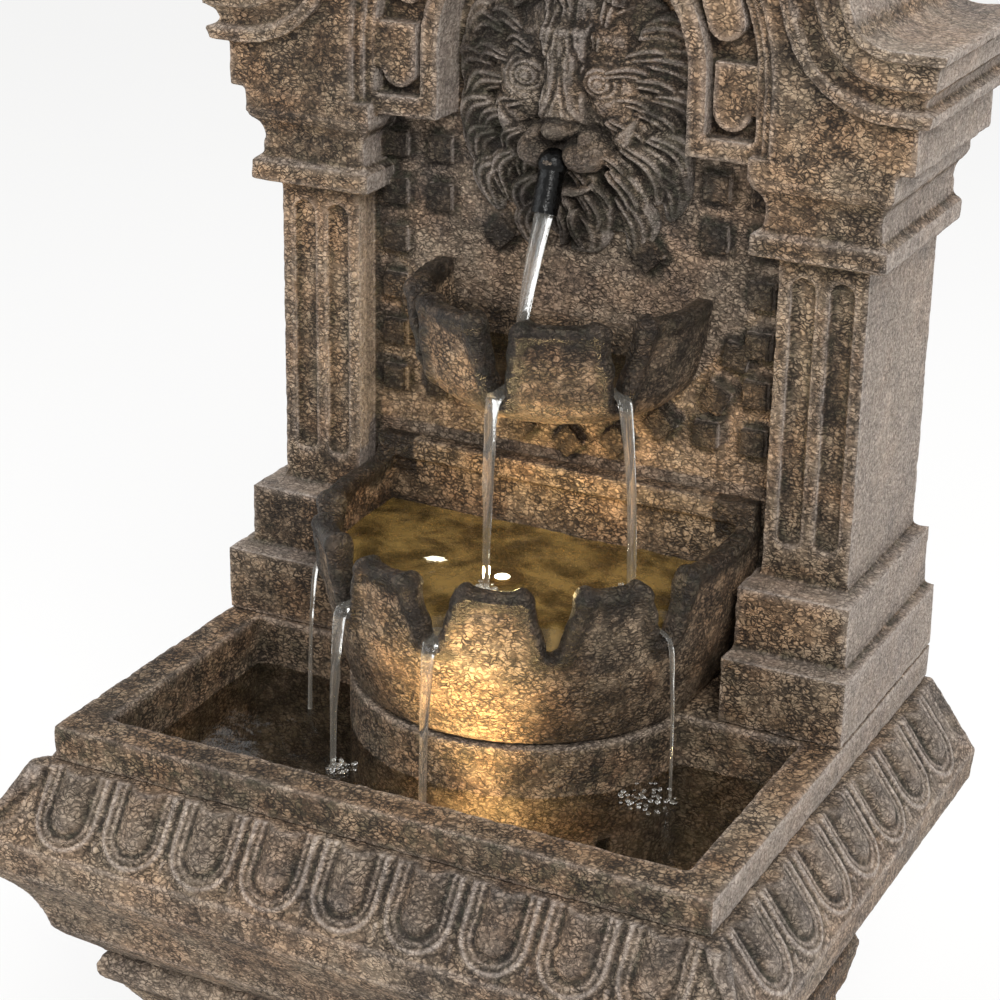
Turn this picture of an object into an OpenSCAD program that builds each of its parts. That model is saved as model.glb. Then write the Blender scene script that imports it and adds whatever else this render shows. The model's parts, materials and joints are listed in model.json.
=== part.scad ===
// Lion statue fountain: a garden ornament of cast, stone-like resin.
// A lion mask pours water into two notched bowls that stand over an open basin.
// The flat back is at +Y, the basin's front faces -Y and the ground is Z 0.

/* [Basin] */
// Outer width of the basin rim
rim_w = 450; // [440:1:470]
// Depth of the basin rim from the flat back to its front edge
rim_d = 385; // [380:1:410]
// Height of the rim top above the ground
rim_z = 420; // [400:1:480]
// Height of the plain band round the rim
rim_band = 24; // [18:1:30]
// Width of the rim's top face
rim_t = 27; // [25:1:32]
// Depth of the pool below the rim top
pool_depth = 100; // [94:1:110]
// Thickness of the basin's floor
floor_t = 10; // [8:1:14]
// Thickness of the basin's side walls below the rim
tub_wall = 10; // [8:1:12]
// Thickness of the round pump chamber's wall
drum_t = 10; // [8:1:12]
// Width of each inlet slot in the pump chamber's wall
slot_w = 10; // [8:1:14]

/* [Base] */
// How far the egg-and-dart ledge stands out from the rim
ledge_out = 38; // [34:1:42]
// Height of the sloping face of the ledge
ledge_drop = 46; // [42:1:52]
// Height of the plain fascia under the ledge
fascia_h = 22; // [18:1:28]
// Height of the hollow moulding under the fascia
cavetto_h = 54; // [48:1:60]
// Distance from one egg to the next
egg_pitch = 50; // [46:1:56]
// Half width of an egg
egg_r = 13; // [11:1:13]
// Half width of the pedestal's shaft, less than half of the rim's width
shaft_in = 47; // [44:1:52]
// Height of the plinth block on the ground
plinth_h = 34; // [28:1:44]

/* [Wall] */
// Depth of the lower step from the flat back
step1_d = 178; // [174:1:182]
// Height of the lower step
step1_h = 45; // [40:1:50]
// Depth of the upper step from the flat back
step2_d = 158; // [154:1:162]
// Height of the upper step
step2_h = 41; // [36:1:46]
// How far the upper step is set in at the sides
step2_in = 8; // [6:1:9]
// Depth of a pilaster from the flat back
pilaster_d = 131; // [128:1:134]
// Width of a pilaster
pilaster_w = 59; // [56:1:62]
// How far a pilaster is set in from the lower step at the side
pilaster_in = 19; // [17:1:21]
// Height of a pilaster's face from the upper step to its capital
pilaster_h = 213; // [205:1:225]
// Depth of the niche's back wall from the flat back
niche_d = 108; // [104:1:112]
// Thickness of the niche's back wall
niche_t = 10; // [8:1:14]
// Thickness of the rear skin
skin_t = 10; // [9:1:12]
// Height of the frieze between capital and cornice
frieze_h = 31; // [28:1:36]
// Height of the cornice
cornice_h = 47; // [44:1:50]
// Radius of the hollow curve that joins shoulder and arch
sweep_r = 25; // [22:1:30]
// Radius of the arch over the lion
arch_r = 85; // [82:1:88]
// Width of the arch's moulded ring
archivolt_w = 57; // [54:1:60]
// Width of the plain strip round the moulded ring
strip_w = 15; // [13:1:17]
// Width of a square stud on the niche wall
stud_w = 18; // [15:1:21]
// Distance from one stud to the next
stud_pitch = 32.4; // [31:0.2:34]
// How far a stud stands out
stud_t = 6; // [4:1:7]

/* [Bowls] */
// Outer radius of the middle bowl at its rim
bowl_r = 139; // [135:1:140]
// Height of the middle bowl's rim above the basin rim
bowl_h = 112; // [106:1:120]
// Thickness of the middle bowl's wall
bowl_t = 12; // [10:1:14]
// Distance of the middle bowl's centre from the flat back
bowl_c = 163; // [160:1:166]
// Height of the middle bowl's inner floor above the basin rim
bowl_floor = 38; // [34:1:42]
// Depth of a notch in the middle bowl
notch_d = 42; // [36:1:46]
// Outer radius of the upper bowl at its rim
cup_r = 98; // [94:1:102]
// Height of the upper bowl's rim above the basin rim
cup_top = 256; // [250:1:262]
// Height of the upper bowl from its foot to its rim
cup_h = 76; // [72:1:80]
// Thickness of the upper bowl's wall
cup_t = 11; // [9:1:12]
// Distance of the upper bowl's centre from the flat back
cup_c = 125; // [122:1:128]

/* [Lion] */
// Height of the mask's centre above the basin rim
lion_z = 380; // [376:1:384]
// Half width of the mask with its mane
lion_r = 77; // [72:1:80]
// Height of the relief at the nose
lion_h = 30; // [26:1:34]
// Height of the water spout above the basin rim
spout_z = 338; // [334:1:342]
// Outer radius of the spout
spout_r = 8.5; // [7.5:0.5:9]

/* [Water and light] */
// Outer radius of the riser hose
hose_r = 8; // [7:0.5:9]
// Wall of the riser hose
hose_t = 1.6; // [1.2:0.2:2]
// Width of the pump
pump_w = 58; // [52:1:64]
// Length of the pump's housing
pump_l = 50; // [46:1:56]
// Height of the pump's motor housing
pump_h = 50; // [46:1:52]
// Radius of the pump's magnet rotor
rotor_r = 9; // [8:0.5:10]
// Radius of the impeller's vanes
vane_r = 14; // [12:0.5:15]
// Radius of the ceramic shaft
axle_r = 1.5; // [1.2:0.1:2]
// Radius of the bowl lamp
bowl_lamp_r = 14; // [12:0.5:16]
// Radius of the basin lamp
pool_lamp_r = 18; // [16:0.5:20]
// Diameter of the pump's lead
pump_lead_d = 5; // [4:0.5:6]
// Diameter of a lamp's lead
lamp_lead_d = 4; // [3:0.5:4.5]

/* [Rear door] */
// Width of the opening in the rear skin
hatch_w = 150; // [140:1:160]
// Height of the opening in the rear skin
hatch_h = 150; // [130:1:170]
// Height of the opening's sill above the basin rim
hatch_z = 28; // [26:1:34]
// Gap round the door
hatch_gap = 1; // [0.8:0.1:1.5]
// Radius of the door's hinge pins
hinge_r = 2; // [1.5:0.25:2.5]
// Radius of the turn knob
knob_r = 12; // [10:0.5:14]

/* [Fits] */
// Radial clearance of a turning shaft
run_gap = 0.05; // [0.03:0.01:0.1]
// Clearance between pieces that seat loosely
seat_gap = 0.3; // [0.2:0.05:0.4]
// Clearance between the basin and the base that holds it
tub_gap = 1; // [0.6:0.1:1.5]

/* [Hidden] */
$fn = 64;

stone = "#a08c78";
dark_stone = "#6a5f55";
black_plastic = "#202224";

// Places of the basin
rim_hw = rim_w / 2;
pool_hw = rim_hw - rim_t;
pool_front = rim_d - rim_t;
pool_back = step1_d + 4;
tub_hw = pool_hw + tub_wall;
tub_front = pool_front + tub_wall;
tub_back = skin_t;
floor_z = rim_z - pool_depth;
tub_z = floor_z - floor_t;
drum_r = bowl_r - 20;
chamber_r = drum_r - drum_t;
chamber_hw = 90;
chamber_back = 20;
slot_h = 30;
slot_angles = [-51, -17, 17, 51];

// Places of the base and the pedestal
ledge_z = rim_z - rim_band;
ledge_low = ledge_z - ledge_drop;
fascia_low = ledge_low - fascia_h;
cavetto_low = fascia_low - cavetto_h;
base_z = cavetto_low - 23;
ledge_in = 4;
whole_d = rim_d + ledge_out;
centre_y = whole_d / 2;

// Places of the wall
step2_z = rim_z + step1_h + step2_h;
step2_hw = rim_hw - step2_in;
pilaster_hw = rim_hw - pilaster_in;
niche_hw = pilaster_hw - pilaster_w;
capital_z = step2_z + pilaster_h;
capital_band = 13;
capital_neck = 34;
capital_top = 14;
frieze_z = capital_z + capital_band + capital_neck + capital_top;
cornice_z = frieze_z + frieze_h;
shoulder_z = cornice_z + cornice_h;
arch_z = cornice_z + 9;
ring_r = arch_r + archivolt_w;
crown_r = ring_r + strip_w + cornice_h;
frieze_out = 17;
side_extra = 12;
sweep_z = shoulder_z + sweep_r;
sweep_x = sqrt(pow(crown_r + sweep_r, 2) - pow(sweep_z - arch_z, 2));
sweep_a = atan2(sweep_z - arch_z, sweep_x);
impost_z = frieze_z - 8;

// Places of the bowls
bay_hw = bowl_r + 2;
bowl_z = rim_z;
bowl_top = rim_z + bowl_h;
bowl_back = 16;
bowl_notches = [-64, -32, 0, 32, 64];
cup_rim = rim_z + cup_top;
cup_z = cup_rim - cup_h;
cup_floor = cup_z + 14;
cup_notches = [-49, 0, 49];

// Places of the pump, which stands in the chamber with its shaft across
pump_y = 54;
cup_foot = 6;
pump_z = floor_z + cup_foot;
pump_axis = pump_z + pump_h / 2;
whirl_l = 16;
pump_x = -whirl_l / 2;
motor_x = pump_x + pump_l;
cover_l = 24;
outlet_z = pump_z + pump_h;
outlet_l = 26;
stub_r = 5.8;
hose_top = rim_z + spout_z;
hose_bore = hose_r - hose_t;
hose_end = niche_d - niche_t - 8;
hose_low = outlet_z + outlet_l - 18;
hose_bend = hose_end - 11 - pump_y;

// Places of the lamps
bowl_lamp_y = bowl_c + 42;
bowl_lamp_z = rim_z + bowl_floor;
bowl_lamp_h = 40;
pool_lamp_a = 17;
pool_lamp_at = (drum_r + (pool_front - bowl_c) / cos(pool_lamp_a)) / 2;
pool_lamp_x = pool_lamp_at * sin(pool_lamp_a);
pool_lamp_y = bowl_c + pool_lamp_at * cos(pool_lamp_a);
pool_lamp_h = 24;
lens_t = 3;

// Places of the rear door
hatch_low = rim_z + hatch_z;
hinge_x = -hatch_w / 2 + skin_t / 2 + hatch_gap;
hinge_y = skin_t / 2;
hinge_l = 14;
knob_x = hatch_w / 2 - 19;
knob_z = hatch_low + hatch_h / 2;
knob_dish = 5.5;
knob_shaft = 4;
splice_x = 118;
splice_z = rim_z + 54;
splice_w = 44;
splice_h = 40;
splice_d = 20;
grommet_x = 160;
grommet_z = rim_z + 40;
grommet_r = 9;
cord_r = 3.4;

// Points on an arc, from angle a to angle b in n steps
function arc(x, y, r, a, b, n) = [for (i = [0 : n]) let (t = a + (b - a) * i / n) [x + r * cos(t), y + r * sin(t)]];

// Stands everything so that the middle of its depth lies over the origin
module placed() {
    translate([0, centre_y, 0]) children();
}

// Extrudes a shape drawn in X and Z forward from depth a to depth b
module forward(a, b) {
    translate([0, -a, 0]) rotate([90, 0, 0]) linear_extrude(b - a) children();
}

// A block between two depths from the back
module slab(x0, x1, d0, d1, z0, z1) {
    translate([x0, -d1, z0]) cube([x1 - x0, d1 - d0, z1 - z0]);
}

// A moulding that returns round the front and both sides and ends flat at the back.
// The profile lists how far it stands out at each height, from the bottom up.
module mitred(half, depth, profile, extra = 0) {
    reach = max([for (p = profile) p[0]]) + extra;
    side = concat([for (p = profile) [half + p[0] + extra, p[1]]],
                  [for (i = [len(profile) - 1 : -1 : 0]) [-half - profile[i][0] - extra, profile[i][1]]]);
    front = concat([for (p = profile) [-depth - p[0], p[1]]],
                   [[0, profile[len(profile) - 1][1]], [0, profile[0][1]]]);
    intersection() {
        forward(0, depth + reach + 1) polygon(side);
        translate([-half - reach - 1, 0, 0]) rotate([90, 0, 90])
            linear_extrude(2 * (half + reach + 1)) polygon(front);
    }
}

// Pedestal

function pedestal_profile() = concat(
    [[-14, 0], [-14, plinth_h], [-20, plinth_h + 2]],
    arc(4 - shaft_in + 25, plinth_h + 32, 29, 250, 180, 5),
    [[-shaft_in, plinth_h + 36], [-shaft_in, base_z - 116]],
    arc(8 - shaft_in - 22, base_z - 102, 22, -28, 0, 4),
    [[-33, base_z - 80], [-33, base_z - 72], [-36, base_z - 68], [-36, base_z - 46]],
    arc(-26, base_z - 12, 13, -75, 60, 10),
    [[-19, base_z]]
);

module pedestal_casting() color(stone) placed() difference() {
    mitred(rim_hw, rim_d, pedestal_profile());
    slab(-rim_hw + shaft_in + 14, rim_hw - shaft_in - 14, skin_t + 4, rim_d - shaft_in - 14, -1, base_z + 1);
}

// Base

function base_profile() = concat(
    [[-18, base_z], [-16, base_z + 3], [0, cavetto_low - 6]],
    arc(6 + cavetto_h * 1.3, cavetto_low - 8, cavetto_h * 1.3, 172, 133, 8),
    [[ledge_out - 4, fascia_low - 3], [ledge_out - 2, fascia_low], [ledge_out, ledge_low],
     [ledge_in, ledge_z], [ledge_in, ledge_z + 3], [0, ledge_z + 3]]
);

slope_a = atan((ledge_out - ledge_in) / ledge_drop);
slope_l = norm([ledge_out - ledge_in, ledge_drop]);
slope_mid = 0.53;
egg_sink = 10;
egg_ball = norm([egg_r, egg_sink]);
egg_rise = slope_l * slope_mid + 10;
inner_bead = 1.8;
outer_bead = 2.8;
corner_tilt = atan2(sqrt(2) * (ledge_out - ledge_in), ledge_drop);

// A raised U round the lower end of an egg, open at the top
module egg_frame(r, bead) {
    rotate([90, 0, 0]) rotate([0, 0, 180]) rotate_extrude(angle = 180, $fn = 32)
        translate([r, 0]) circle(bead, $fn = 16);
    for (s = [-1, 1]) translate([s * r, 0, 0]) cylinder(h = egg_rise, r = bead, $fn = 16);
}

// One flat-domed egg in its two raised frames, with its round end at the bottom, on the sloping face
module egg() {
    translate([0, egg_sink, 0]) {
        sphere(egg_ball, $fn = 48);
        cylinder(h = egg_rise, r = egg_ball, $fn = 48);
    }
    translate([0, 0.4, 0]) egg_frame(egg_r + 2.6, inner_bead);
    translate([0, 0.6, 0]) egg_frame(egg_r + 7.6, outer_bead);
}

// The tip of the dart that shows low between two frames
module dart() {
    translate([0, 0.2, -20]) cylinder(h = 10, r1 = 0.8, r2 = 2.6, $fn = 16);
}

// A row of eggs and darts along a straight ledge, drawn along X with the slope facing -Y
module egg_row(count) {
    for (i = [0 : count - 1])
        translate([(i - (count - 1) / 2) * egg_pitch, 0, 0]) slope() egg();
    for (i = [1 : count - 1])
        translate([(i - count / 2) * egg_pitch, 0, 0]) slope() dart();
}

// Leans a piece back onto the sloping face
module slope() {
    translate([0, -(ledge_in + (ledge_out - ledge_in) * slope_mid), ledge_z - ledge_drop * slope_mid])
        rotate([-slope_a, 0, 0]) children();
}

// The pointed leaf that covers the mitre at a front corner
module corner_leaf(side) {
    translate([side * (rim_hw + ledge_out), -rim_d - ledge_out, ledge_low])
        rotate([0, corner_tilt, side > 0 ? 135 : 45]) translate([0, 0, 8])
            cylinder(h = norm([slope_l, ledge_out - ledge_in]), r1 = 1.5, r2 = 9, $fn = 48);
}

egg_front = floor((rim_w + ledge_out - 20) / egg_pitch);
egg_side = floor((rim_d + ledge_out / 2 - 8) / egg_pitch);

module base_casting() color(stone) placed() difference() {
    union() {
        mitred(rim_hw, rim_d, base_profile());
        translate([0, -rim_d, 0]) egg_row(egg_front);
        for (s = [-1, 1]) {
            translate([s * rim_hw, -(rim_d + ledge_out / 2) / 2, 0]) rotate([0, 0, s * 90]) egg_row(egg_side);
            corner_leaf(s);
        }
    }
    slab(-rim_hw - ledge_out, rim_hw + ledge_out, -1, whole_d + 1, ledge_z, rim_z);
    slab(-tub_hw - tub_gap, tub_hw + tub_gap, tub_back - tub_gap, tub_front + tub_gap, tub_z - tub_gap, rim_z);
    slab(-rim_hw + 32, rim_hw - 32, skin_t + 4, rim_d - 32, base_z - 1, tub_z);
}

// Basin

module drum_slots() {
    for (a = slot_angles)
        translate([0, -bowl_c, floor_z]) rotate([0, 0, a])
            translate([-slot_w / 2, -drum_r - 3, 0]) cube([slot_w, drum_t + 6, slot_h]);
}

module basin_tub() color(stone) placed() difference() {
    union() {
        slab(-rim_hw, rim_hw, 0, rim_d, rim_z - rim_band, rim_z);
        slab(-tub_hw, tub_hw, tub_back, tub_front, tub_z, rim_z - rim_band);
    }
    difference() {
        slab(-pool_hw, pool_hw, pool_back, pool_front, floor_z, rim_z + 1);
        translate([0, -bowl_c, floor_z - 1]) cylinder(h = pool_depth + 3, r = drum_r, $fn = 96);
    }
    translate([0, -bowl_c, floor_z]) cylinder(h = pool_depth + 1, r = chamber_r, $fn = 96);
    slab(-chamber_hw, chamber_hw, chamber_back, bowl_c, floor_z, rim_z + 1);
    drum_slots();
}

// Wall

// The upper part of a circle, cut off level with its centre
module half_disc(r, fine = 96) intersection() {
    circle(r, $fn = fine);
    translate([-2 * r, 0]) square([4 * r, 2 * r]);
}

// A plate with a round top, whose straight sides run down from the circle's centre
module round_top(r, down) {
    half_disc(r);
    translate([-r, -down]) square([2 * r, down]);
}

// The line of the top from the right shoulder over the arch to the left one, set in by drop
function sweep_line(drop) = let (
        right = concat(
            [for (i = [0 : 6]) let (t = 270 - (90 - sweep_a) * i / 6)
                [sweep_x + (sweep_r + drop) * cos(t), sweep_z + (sweep_r + drop) * sin(t)]],
            [for (i = [1 : 17]) let (t = sweep_a + (90 - sweep_a) * i / 18)
                [(crown_r - drop) * cos(t), arch_z + (crown_r - drop) * sin(t)]]),
        n = len(right) - 1)
    concat(right, [[0, arch_z + crown_r - drop]], [for (i = [n : -1 : 0]) [-right[i][0], right[i][1]]]);

// The outline of the frieze, shoulders and arch, drawn in X and Z
module crown_outline() {
    hw = pilaster_hw + frieze_out + side_extra;
    top = shoulder_z - crown_drop;
    polygon(concat([[hw, frieze_z], [hw, top]], sweep_line(crown_drop), [[-hw, top], [-hw, frieze_z]]));
}
crown_drop = 0.5;

// The cornice's section: how far below the top edge, and how far in front of the pilasters
function cornice_profile() = concat(
    [[cornice_h - 21, 10], [8, 10], [0, 10], [0, 36], [7, 35], [8, 31], [12, 30]],
    arc(cornice_h - 8, 36, 17, 205, 235, 4),
    [[cornice_h - 12, 21], [cornice_h - 9, 28], [cornice_h, 26], [cornice_h, 10], [cornice_h - 12, 10]]
);

// The end of the cornice at the back, in three faces that each open like a fan
function cornice_end(first, n, last) = [for (f = [
        [1, 2, 3, 4, 5],
        concat([0, 1], [for (j = [5 : n - 5]) j], [n - 1]),
        [n - 1, n - 5, n - 4, n - 3, n - 2]])
    last ? concat([first + f[0]], [for (i = [len(f) - 1 : -1 : 1]) first + f[i]]) : [for (j = f) first + j]];

// The cornice: its section carried from the back round the shoulder, over the arch and back
module cornice() {
    profile = cornice_profile();
    n = len(profile);
    lines = [for (q = profile) sweep_line(q[0])];
    stations = len(lines[0]);
    hw = pilaster_hw + side_extra;
    left = [for (y = [0, 1]) for (q = profile)
        [-hw - q[1], y == 0 ? -crown_drop : -pilaster_d - q[1], shoulder_z - q[0]]];
    right = [for (y = [1, 0]) for (q = profile)
        [hw + q[1], y == 0 ? -crown_drop : -pilaster_d - q[1], shoulder_z - q[0]]];
    front = [for (i = [stations - 1 : -1 : 0]) for (j = [0 : n - 1])
        [lines[j][i][0], -pilaster_d - profile[j][1], lines[j][i][1]]];
    m = stations + 3;
    polyhedron(points = concat(left, front, right), faces = concat(
        cornice_end(0, n, false),
        [for (i = [0 : m - 1]) for (j = [0 : n - 1]) let (a = i * n, b = (j + 1) % n)
            each [[a + j, a + n + b, a + b], [a + j, a + n + j, a + n + b]]],
        cornice_end(m * n, n, true)));
}

// The moulded ring round the arch: raised edges with a row of round-ended blocks between
ring_in = 13;
ring_out = 12;
block_l = 30;

module ring_shape(r0, r1) {
    difference() {
        translate([0, arch_z]) round_top(r1, arch_z - impost_z);
        translate([0, arch_z]) round_top(r0, arch_z - impost_z + 1);
    }
}

module ring_block() {
    w = archivolt_w - ring_in - ring_out - 7;
    r = arch_r + ring_in + 3.5 + w / 2;
    translate([r, 0]) mirror([0, 1]) round_top(w / 2, block_l);
}

module archivolt() {
    forward(niche_d - 5, pilaster_d + 9) ring_shape(arch_r, arch_r + ring_in);
    forward(niche_d - 5, pilaster_d + 9) ring_shape(ring_r - ring_out, ring_r - ring_out / 2);
    forward(niche_d - 5, pilaster_d + 13) ring_shape(ring_r - ring_out / 2, ring_r + 1);
    forward(niche_d - 5, pilaster_d + 9) for (s = [0, 1]) mirror([s, 0])
        translate([arch_r, impost_z]) square([archivolt_w, 14]);
    forward(niche_d - 5, pilaster_d + 7) {
        for (s = [0, 1]) mirror([s, 0]) {
            translate([0, arch_z - 17]) ring_block();
            for (a = [19, 43, 67]) translate([0, arch_z]) rotate(a) ring_block();
        }
    }
}

function capital_profile() = concat(
    [[6, capital_z - 3], [15, capital_z], [15, capital_z + capital_band], [9, capital_z + capital_band + 4]],
    arc(10 + 14, capital_z + capital_band + capital_neck * 0.45, 16, 195, 125, 5),
    [[17.5, capital_z + capital_band + capital_neck], [17.5, frieze_z]]
);

module pilaster(side) {
    mid = side * (pilaster_hw - pilaster_w / 2);
    slab(min(side * niche_hw, side * pilaster_hw), max(side * niche_hw, side * pilaster_hw),
         0, pilaster_d, step2_z - 1, frieze_z + 1);
    translate([mid, 0, 0]) mitred(pilaster_w / 2, pilaster_d, capital_profile());
}

// Two round-ended flutes in the face of a pilaster
flute_w = 15;
module flutes(side) {
    mid = side * (pilaster_hw - pilaster_w / 2);
    forward(pilaster_d - 4, pilaster_d + 1)
        for (s = [-1, 1]) {
            x = mid + s * 12.5;
            translate([x, capital_z - 22]) round_top(flute_w / 2, (pilaster_h - 52) / 2);
            translate([x, step2_z + 30]) mirror([0, 1]) round_top(flute_w / 2, (pilaster_h - 52) / 2);
        }
}

// Upright studs in rows, left out where the lion, the bowls or the arch stand
function stud_free(x, z) = let (
        lion = norm([x / (lion_r + 14), (z - rim_z - lion_z + 12) / (lion_r + 32)]) > 1,
        cup = norm([x / (cup_r + 24), (z - cup_rim + 14) / 66]) > 1,
        low = z > rim_z + 142,
        high = z < impost_z - stud_w / 2 - 4 && abs(x) < niche_hw - stud_w / 2 - 3,
        fan = norm([x, z - cup_rim]) > 132 || z > cup_rim)
    lion && cup && low && high && fan;

module stud(x, z, turn = 0) {
    translate([x, 0, z]) rotate([0, turn, 0]) slab(-stud_w / 2, stud_w / 2, niche_d - 1, niche_d + stud_t, -stud_w / 2, stud_w / 2);
}

module studs() {
    for (i = [-4 : 4]) for (j = [-6 : 3]) {
        x = i * stud_pitch;
        z = rim_z + 295 + j * stud_pitch;
        if (stud_free(x, z)) stud(x, z);
    }
    for (a = [-78, -60, 60, 78]) stud(118 * sin(a), cup_rim - 14 - 102 * cos(a), -a);
    for (a = [-40, -20, 0, 20, 40]) stud(101 * sin(a), cup_rim - 12 - 101 * cos(a), 45);
    for (s = [-1, 1]) stud(s * 52, cup_rim + 22, 45);
}

module steps() {
    difference() {
        union() {
            slab(-rim_hw, rim_hw, 0, step1_d, rim_z, rim_z + step1_h);
            slab(-step2_hw, step2_hw, 0, step2_d, rim_z + step1_h - 1, step2_z);
        }
        slab(-bay_hw, bay_hw, niche_d, rim_d, rim_z - 1, step2_z + 1);
    }
}

// The outline of the hollow inside the wall, open below; the rear panel closes it with a gap all round
module hollow_outline(gap, low) {
    hw = pilaster_hw - side_wall - gap;
    translate([-hw, low]) square([2 * hw, arch_z - gap - low]);
    intersection() {
        translate([0, arch_z]) circle(crown_r - 18 - gap, $fn = 96);
        translate([-crown_r, arch_z - gap - 1]) square([2 * crown_r, crown_r]);
    }
}
side_wall = 14;

module wall_casting() color(stone) placed() difference() {
    union() {
        steps();
        slab(-niche_hw - 1, niche_hw + 1, 0, niche_d, rim_z, frieze_z + 1);
        for (side = [-1, 1]) pilaster(side);
        difference() {
            forward(0, pilaster_d + frieze_out) crown_outline();
            forward(niche_d, pilaster_d + 60) translate([0, arch_z]) round_top(ring_r, arch_z - frieze_z + 1);
        }
        cornice();
        archivolt();
        forward(niche_d - 5, pilaster_d - 3) ring_shape(arch_r, ring_r + 1);
        studs();
    }
    for (side = [-1, 1]) flutes(side);
    forward(-1, niche_d - niche_t) hollow_outline(0, rim_z - 1);
    translate([0, 1, hose_top]) rotate([90, 0, 0]) translate([0, 0, skin_t + 2])
        cylinder(h = niche_d, r = spout_r + seat_gap, $fn = 48);
}

// The flat panel that closes the wall's hollow at the back and stands on the basin
module rear_panel() color(stone) placed() difference() {
    forward(0, skin_t) hollow_outline(seat_gap, rim_z);
    slab(-hatch_w / 2, hatch_w / 2, -1, skin_t + 1, hatch_low, hatch_low + hatch_h);
    for (z = [hatch_low - hinge_l, hatch_low + hatch_h - 1])
        translate([hinge_x, -hinge_y, z]) cylinder(h = hinge_l + 1, r = hinge_r + run_gap, $fn = 32);
    translate([grommet_x, 1, grommet_z]) rotate([90, 0, 0]) cylinder(h = skin_t + 2, r = grommet_r, $fn = 48);
    translate([grommet_x, 1, grommet_z]) rotate([90, 0, 0]) cylinder(h = 4, r = grommet_r + 4, $fn = 48);
}

// Bowls

function bowl_outer() = [[drum_r - 4, 0], [drum_r, 4], [bowl_r - 12, 30], [bowl_r - 4, 62], [bowl_r, 92], [bowl_r, bowl_h]];

// A tub with a round front and a flat back: the outline turned for the front and run straight behind
module round_front(points, straight) {
    rotate([0, 0, 180]) rotate_extrude(angle = 180, $fn = 96) polygon(points);
    rotate([90, 0, 0]) mirror([0, 0, 1]) linear_extrude(straight)
        union() {
            polygon(points);
            mirror([1, 0]) polygon(points);
        }
}

module notch(width, bottom, deep, top) {
    rotate([90, 0, 0]) linear_extrude(deep) {
        polygon([[-bottom / 2, 4], [bottom / 2, 4], [width / 2, top], [-width / 2, top]]);
        translate([0, bottom / 2]) circle(bottom / 2 + 1, $fn = 24);
    }
}

module middle_bowl() color(stone) placed() difference() {
    union() {
        translate([0, -bowl_c, bowl_z]) round_front(concat([[0, 0]], bowl_outer(), [[0, bowl_h]]), bowl_c - niche_d);
        slab(-bowl_r, bowl_r, niche_d, niche_d + bowl_back, bowl_top - 1, bowl_top + bowl_back);
    }
    difference() {
        translate([0, -bowl_c, rim_z + bowl_floor])
            round_front([[0, 0], [bowl_r - bowl_t - 16, 0], [bowl_r - bowl_t - 3, 14], [bowl_r - bowl_t, 40],
                         [bowl_r - bowl_t, bowl_h], [0, bowl_h]], bowl_c - niche_d);
        slab(-rim_hw, rim_hw, 0, niche_d + bowl_back - 6, rim_z, bowl_top + 60);
        slab(-rim_hw, rim_hw, 0, niche_d + bowl_back, bowl_top, bowl_top + 60);
    }
    for (a = bowl_notches)
        translate([0, -bowl_c, bowl_top - notch_d]) rotate([0, 0, a]) translate([0, -bowl_r + bowl_t + 8, 0])
            notch(34, 9, bowl_t + 12, notch_d + 1);
    translate([0, -bowl_c, bowl_z - 1]) cylinder(h = bowl_floor - 11, r = chamber_r - 4, $fn = 96);
    translate([0, -bowl_lamp_y, bowl_z + 1]) cylinder(h = bowl_floor, r = 5, $fn = 32);
}

function cup_outer() = [[cup_r - 42, 0], [cup_r - 26, 5], [cup_r - 14, 14], [cup_r - 8, 26], [cup_r - 2, 52], [cup_r, cup_h]];

module upper_bowl() color(stone) placed() difference() {
    translate([0, -cup_c, cup_z]) round_front(concat([[0, 0]], cup_outer(), [[0, cup_h]]), cup_c - niche_d);
    difference() {
        translate([0, -cup_c, cup_floor])
            round_front([[0, 0], [cup_r - cup_t - 24, 0], [cup_r - cup_t - 11, 10], [cup_r - cup_t - 3, 34],
                         [cup_r - cup_t, cup_h - 13], [0, cup_h - 13]], cup_c - niche_d);
        slab(-rim_hw, rim_hw, 0, niche_d + 7, rim_z, cup_rim - 26);
    }
    for (a = cup_notches)
        translate([0, -cup_c, cup_z + 22]) rotate([0, 0, a]) translate([0, -cup_r + cup_t + 12, 0])
            notch(30, 6, cup_t + 16, cup_h);
}

// Lion

// A soft swelling, and a dome with a firm foot, both m to the side of the middle line
function swell(m, z, cx, cz, rx, rz, h) = h * exp(-pow((m - cx) / rx, 2) - pow((z - cz) / rz, 2));
function dome(m, z, cx, cz, rx, rz, h) = h * sqrt(max(0, 1 - pow((m - cx) / rx, 2) - pow((z - cz) / rz, 2)));

// Height of the face at a place measured from the mask's centre
function face(x, z) = let (
        m = abs(x),
        eye = norm([(m - 25) / 10, (z - 5) / 8]),
        skull = dome(m, z, 0, 4, 50, 62, 25),
        brow = dome(m, z, 23, 24, 22, 14, 28),
        bridge = z > -34 && z < 36 ? 30 - 0.034 * pow(max(0, m - 5), 2) - 0.06 * z : 0,
        cheek = dome(m, z, 36, -14, 15, 24, 25),
        jowl = dome(m, z, 15, -36, 17, 15, 34),
        nose = dome(m, z, 0, -24, 16, 12, 36),
        chin = dome(m, z, 0, -66, 17, 13, 27))
    max(skull, brow, bridge, cheek, jowl, nose, chin)
    - (eye > 1.3 ? swell(m, z, 24, 5, 15, 12, 7) : 0) - (eye < 1.3 ? 3 + 2 * sin(270 * eye) : 0)
    - swell(m, z, 0, -51, 24, 4, 9) - swell(m, z, 0, -40, 3, 12, 5) - swell(m, z, 8.5, -31, 4, 3, 4);

// Strands and locks of the mane, which turn as they run outward
function mane(a, q) = (2.6 * sin(26 * a + 190 * q) + 2.8 * sin(13 * a + 150 * q) + 1.6 * sin(900 * q + 4 * a))
    * min(1, max(0, (q - 0.5) * 5));

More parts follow.
